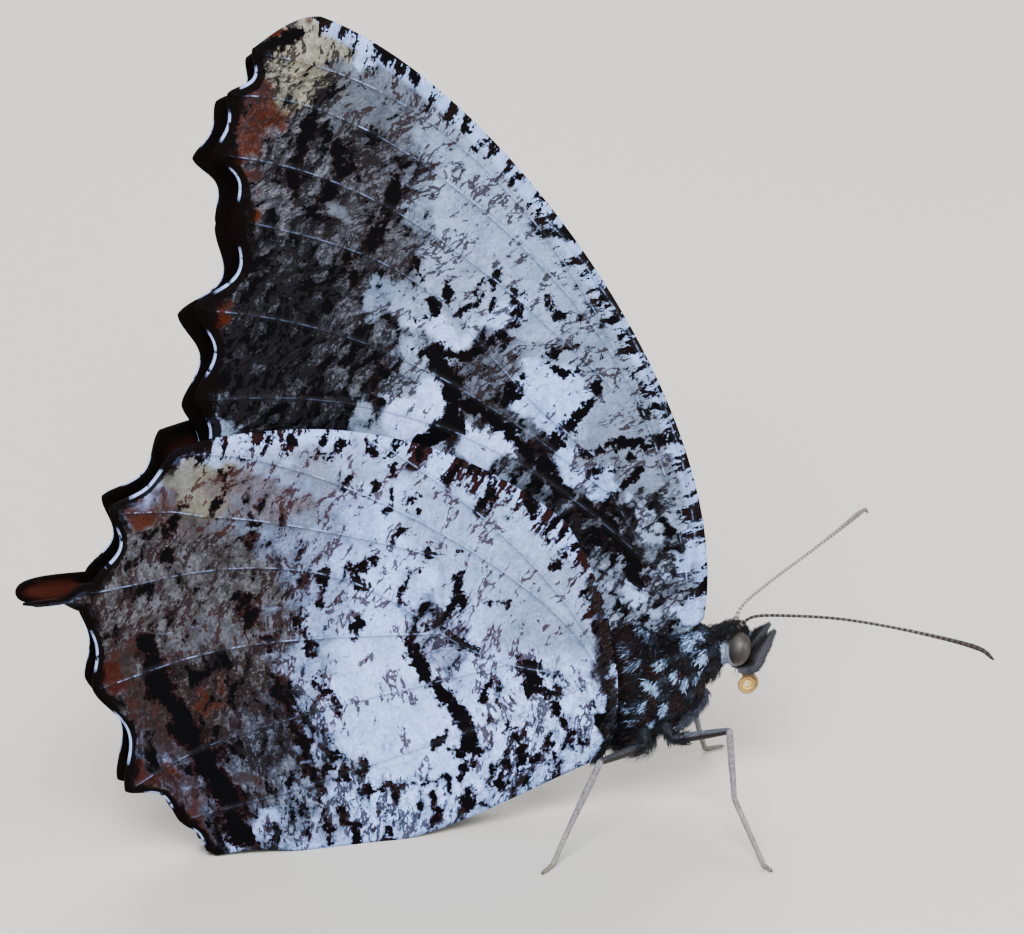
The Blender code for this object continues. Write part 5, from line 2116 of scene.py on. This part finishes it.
@dataclass
class Legs:
    """Four walking legs and the small folded front pair."""

    body: Body

    def leg(self, name: str, joints: tuple, femur: Colour) -> None:
        """One leg: hip, femur, tibia, five-part tarsus, spines and claws.

        Args:
            name: The node.
            joints: Root, hip, knee, ankle, foot and toe.
            femur: The colour of the thigh's upper side.
        """
        joints = np.array(joints, float)
        sizes = (0.4, 0.26, 0.19, 0.15, 0.13, 0.09)
        path, radii, kinds = [], [], []
        for i in range(len(joints) - 1):
            a, b = joints[i], joints[i + 1]
            span = np.linalg.norm(b - a)
            nick = 0.06 / span
            first, last = nick * (i > 0), 1 - nick * (i < len(joints) - 2)
            shares = np.linspace(first, last, max(4, round(span / 0.1)))
            wave = np.zeros(len(shares))
            if i in (1, 2):
                wave = 0.16 * np.sin(math.pi * shares) ** 0.8
            if i >= 3:
                wave = 0.14 * np.abs(np.sin(math.pi * shares * (4 if i == 3 else 2)))
            path.append(a + (b - a) * shares[:, None])
            radii.append((sizes[i] + (sizes[i + 1] - sizes[i]) * shares) * (1 + wave))
            kinds.append(np.full(len(shares), i))
        path, radii, kinds = np.vstack(path), np.concatenate(radii), np.concatenate(kinds)
        path[:, 2] = np.maximum(path[:, 2], radii + 0.01)
        sides = 14
        points, faces = tube(path, radii, sides)
        under = np.repeat(path[:, 2], sides) - points[: len(path) * sides, 2]
        kind = np.repeat(kinds, sides)
        rng = np.random.default_rng(20)
        lower = (rgb(166, 164, 167), rgb(172, 171, 163), rgb(160, 158, 148))
        tones = np.array((rgb(46, 50, 64), femur, *lower))
        shade = smooth(under, -0.14, -0.03)[:, None] * (kind == 1)[:, None]
        hue = tones[kind] * (1 - shade) + np.array(rgb(40, 30, 31)) * shade
        fleck = rng.random(len(hue))
        hue *= rng.uniform(0.75, 1.25, (len(hue), 1))
        hue[(fleck > 0.93) & (kind > 0)] *= 0.45
        hue = np.vstack([hue, hue[:1], hue[-1:]])
        rng = np.random.default_rng(21)
        spines, spine_faces = [], []
        start = len(points)
        toe = joints[-1]
        ahead = joints[-1] - joints[-2]
        ahead /= np.linalg.norm(ahead)
        aside = np.cross(ahead, (0, 0, 1.0))
        shin = np.flatnonzero(kinds >= 2)
        roots = [(path[i], rng.normal(0, 1, 3), 0.17) for i in shin if rng.random() < 0.7]
        roots += [(toe, ahead * 2 + aside * s - np.array((0, 0, 0.3)), 0.2) for s in (-1.0, 1.0)]
        for place, way, length in roots:
            way = way / np.linalg.norm(way) + ahead * 0.5
            way /= np.linalg.norm(way)
            place = np.array((place[0], place[1], max(place[2], 0.06)))
            turn = np.cross(way, (0.3, 0.5, 0.8))
            turn /= np.linalg.norm(turn)
            other = np.cross(way, turn)
            tip = place + way * (length + 0.1)
            tip[2] = max(tip[2], 0.01)
            n = start + len(spines)
            low = place - turn * 0.01
            spines += [place + turn * 0.02, low + other * 0.017, low - other * 0.017, tip]
            spine_faces += [[n, n + 1, n + 3], [n + 1, n + 2, n + 3], [n + 2, n, n + 3], [n, n + 2, n + 1]]
        points = np.vstack([points, spines])
        coat = {"coat": opaque(np.vstack([hue, np.tile(rgb(70, 60, 56), (len(spines), 1))]))}
        obj = add_mesh(name + "_cuticle", points, faces + spine_faces, self.body.finish(name, 0.5), coat)
        settle(obj, "leg", name)

    def foreleg(self, name: str, side: float) -> None:
        """The short furry front leg, folded on the chest.

        Args:
            name: The node.
            side: -1 on the right and 1 on the left.
        """
        places = ((-8, 0.7, -0.2), (-18, 0.75, 0.2), (-35, 0.8, 0.24), (-55, 0.9, 0.2), (-72, 0.95, 0.1))
        path = curve_through(tuple(self.body.on_chest(t, side * y, out) for t, y, out in places), 8)
        share = np.linspace(0, 1, len(path))
        points, faces = tube(path, np.interp(share, (0, 0.2, 0.8, 1), (0.15, 0.22, 0.2, 0.06)), 12)
        coat = {"coat": opaque(np.tile(rgb(70, 76, 92), (len(points), 1)))}
        obj = add_mesh(name + "_limb", points, faces, self.body.finish(name, 0.65), coat)
        settle(obj, "leg", name)
        self.furred(name, path, 0.2, 700, rgb(104, 112, 132))

    def furred(self, name: str, path: np.ndarray, radius: float, count: int, hue: Colour) -> None:
        """Hair along part of a leg.

        Args:
            name: The leg.
            path: Its middle line.
            radius: Its radius.
            count: How many tufts.
            hue: Their colour.
        """
        rng = np.random.default_rng(count)
        at = rng.uniform(0, len(path) - 1.001, count)
        step = at.astype(int)
        share = (at - step)[:, None]
        middle = path[step] * (1 - share) + path[step + 1] * share
        way = unit(path[step + 1] - path[step])
        out = rng.normal(0, 1, (count, 3))
        out = unit(out - way * (out * way).sum(1)[:, None])
        lies = (way + (-0.3, 0, -0.3), *alike(way, way[0], 0.5, 0.5, 0.028)[1:])
        root = middle + out * radius
        self.body.tufts(name + "_fur", root, out, lies, np.tile(hue, (count, 1)), 31, "leg")

    def build(self) -> None:
        """Makes the legs."""
        turns = {"midleg": -86, "hindleg": -116}
        femurs = {"midleg": rgb(132, 137, 148), "hindleg": rgb(80, 82, 90)}
        for pair, side, rest in (
            ("midleg", -1, ((12.2, -5.0, 5.9), (11.6, -8.0, 3.1), (12.45, -10.9, 0.2), (12.7, -11.5, 0.12))),
            ("midleg", 1, ((12.3, 4.4, 6.3), (13.5, 5.2, 1.5), (13.9, 5.3, 0.16), (15.0, 5.5, 0.12))),
            ("hindleg", -1, ((4.9, -4.3, 4.6), (2.3, -6.5, 1.5), (1.2, -7.5, 0.16), (0.4, -8.3, 0.12))),
            ("hindleg", 1, ((4.9, 4.3, 4.6), (2.4, 6.3, 1.5), (1.4, 7.2, 0.16), (0.8, 8.2, 0.12))),
        ):
            name = pair + ("_left" if side > 0 else "_right")
            root = self.body.on_chest(turns[pair], side * 1.5, -0.5)
            hip = self.body.on_chest(turns[pair], side * 1.5, 0.8)
            self.leg(name, (root, hip, *rest), femurs[pair])
            thigh = hip + (np.array(rest[0]) - hip) * 0.25
            self.furred(name, np.array((root, hip, thigh)), 0.3, 420, rgb(50, 54, 68))
        self.foreleg("foreleg_right", -1.0)
        self.foreleg("foreleg_left", 1.0)


@dataclass
class Studio:
    """A plain pale floor and soft light."""

    def build(self) -> None:
        """Adds the floor, the lights and the sky."""
        bpy.ops.object.select_all(action="DESELECT")
        bpy.ops.mesh.primitive_plane_add(size=2.4, location=(0.0, 0.2, -0.00001))
        floor = bpy.context.active_object
        floor.name = "Floor"
        paint = Paint("floor", 0.75)
        shade = paint.noise(paint.place(), 0.004, 2.0)
        floor.data.materials.append(paint.finish(paint.mix(shade, rgb(205, 204, 202), rgb(214, 213, 211))))
        floor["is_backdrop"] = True
        world = bpy.data.worlds.new("Sky")
        world.use_nodes = True
        sky = world.node_tree.nodes["Background"].inputs
        sky["Color"].default_value = (0.9, 0.95, 1.0, 1.0)
        sky["Strength"].default_value = 0.49
        bpy.context.scene.world = world
        for name, place, size, power in (
            ("Key", (-0.18, -0.42, 0.5), 0.35, 9.8),
            ("Fill", (0.5, -0.3, 0.25), 0.4, 3.1),
            ("Back", (0.1, 0.5, 0.5), 0.4, 4.2),
        ):
            data = bpy.data.lights.new(name, "AREA")
            data.size = size
            data.energy = power
            lamp = bpy.data.objects.new(name, data)
            bpy.context.scene.collection.objects.link(lamp)
            lamp.location = place
            away = Vector(place) - Vector((0, 0, 0.02))
            lamp.rotation_euler = away.to_track_quat("Z", "Y").to_euler()
            lamp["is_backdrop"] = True


def main() -> None:
    """Builds the butterfly piece by piece."""
    logging.basicConfig(level=logging.INFO, format="%(name)s: %(message)s")
    camera = Camera()
    Wings(camera).build()
    body = Body(camera)
    body.build()
    HeadParts(body).build()
    Legs(body).build()
    Studio().build()
    camera.build()
    [[list(map(float, c)) for c in box] for box in (CAD_BOX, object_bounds())]
    LOG.info("all pieces built")


if __name__ == "__main__":
    main()
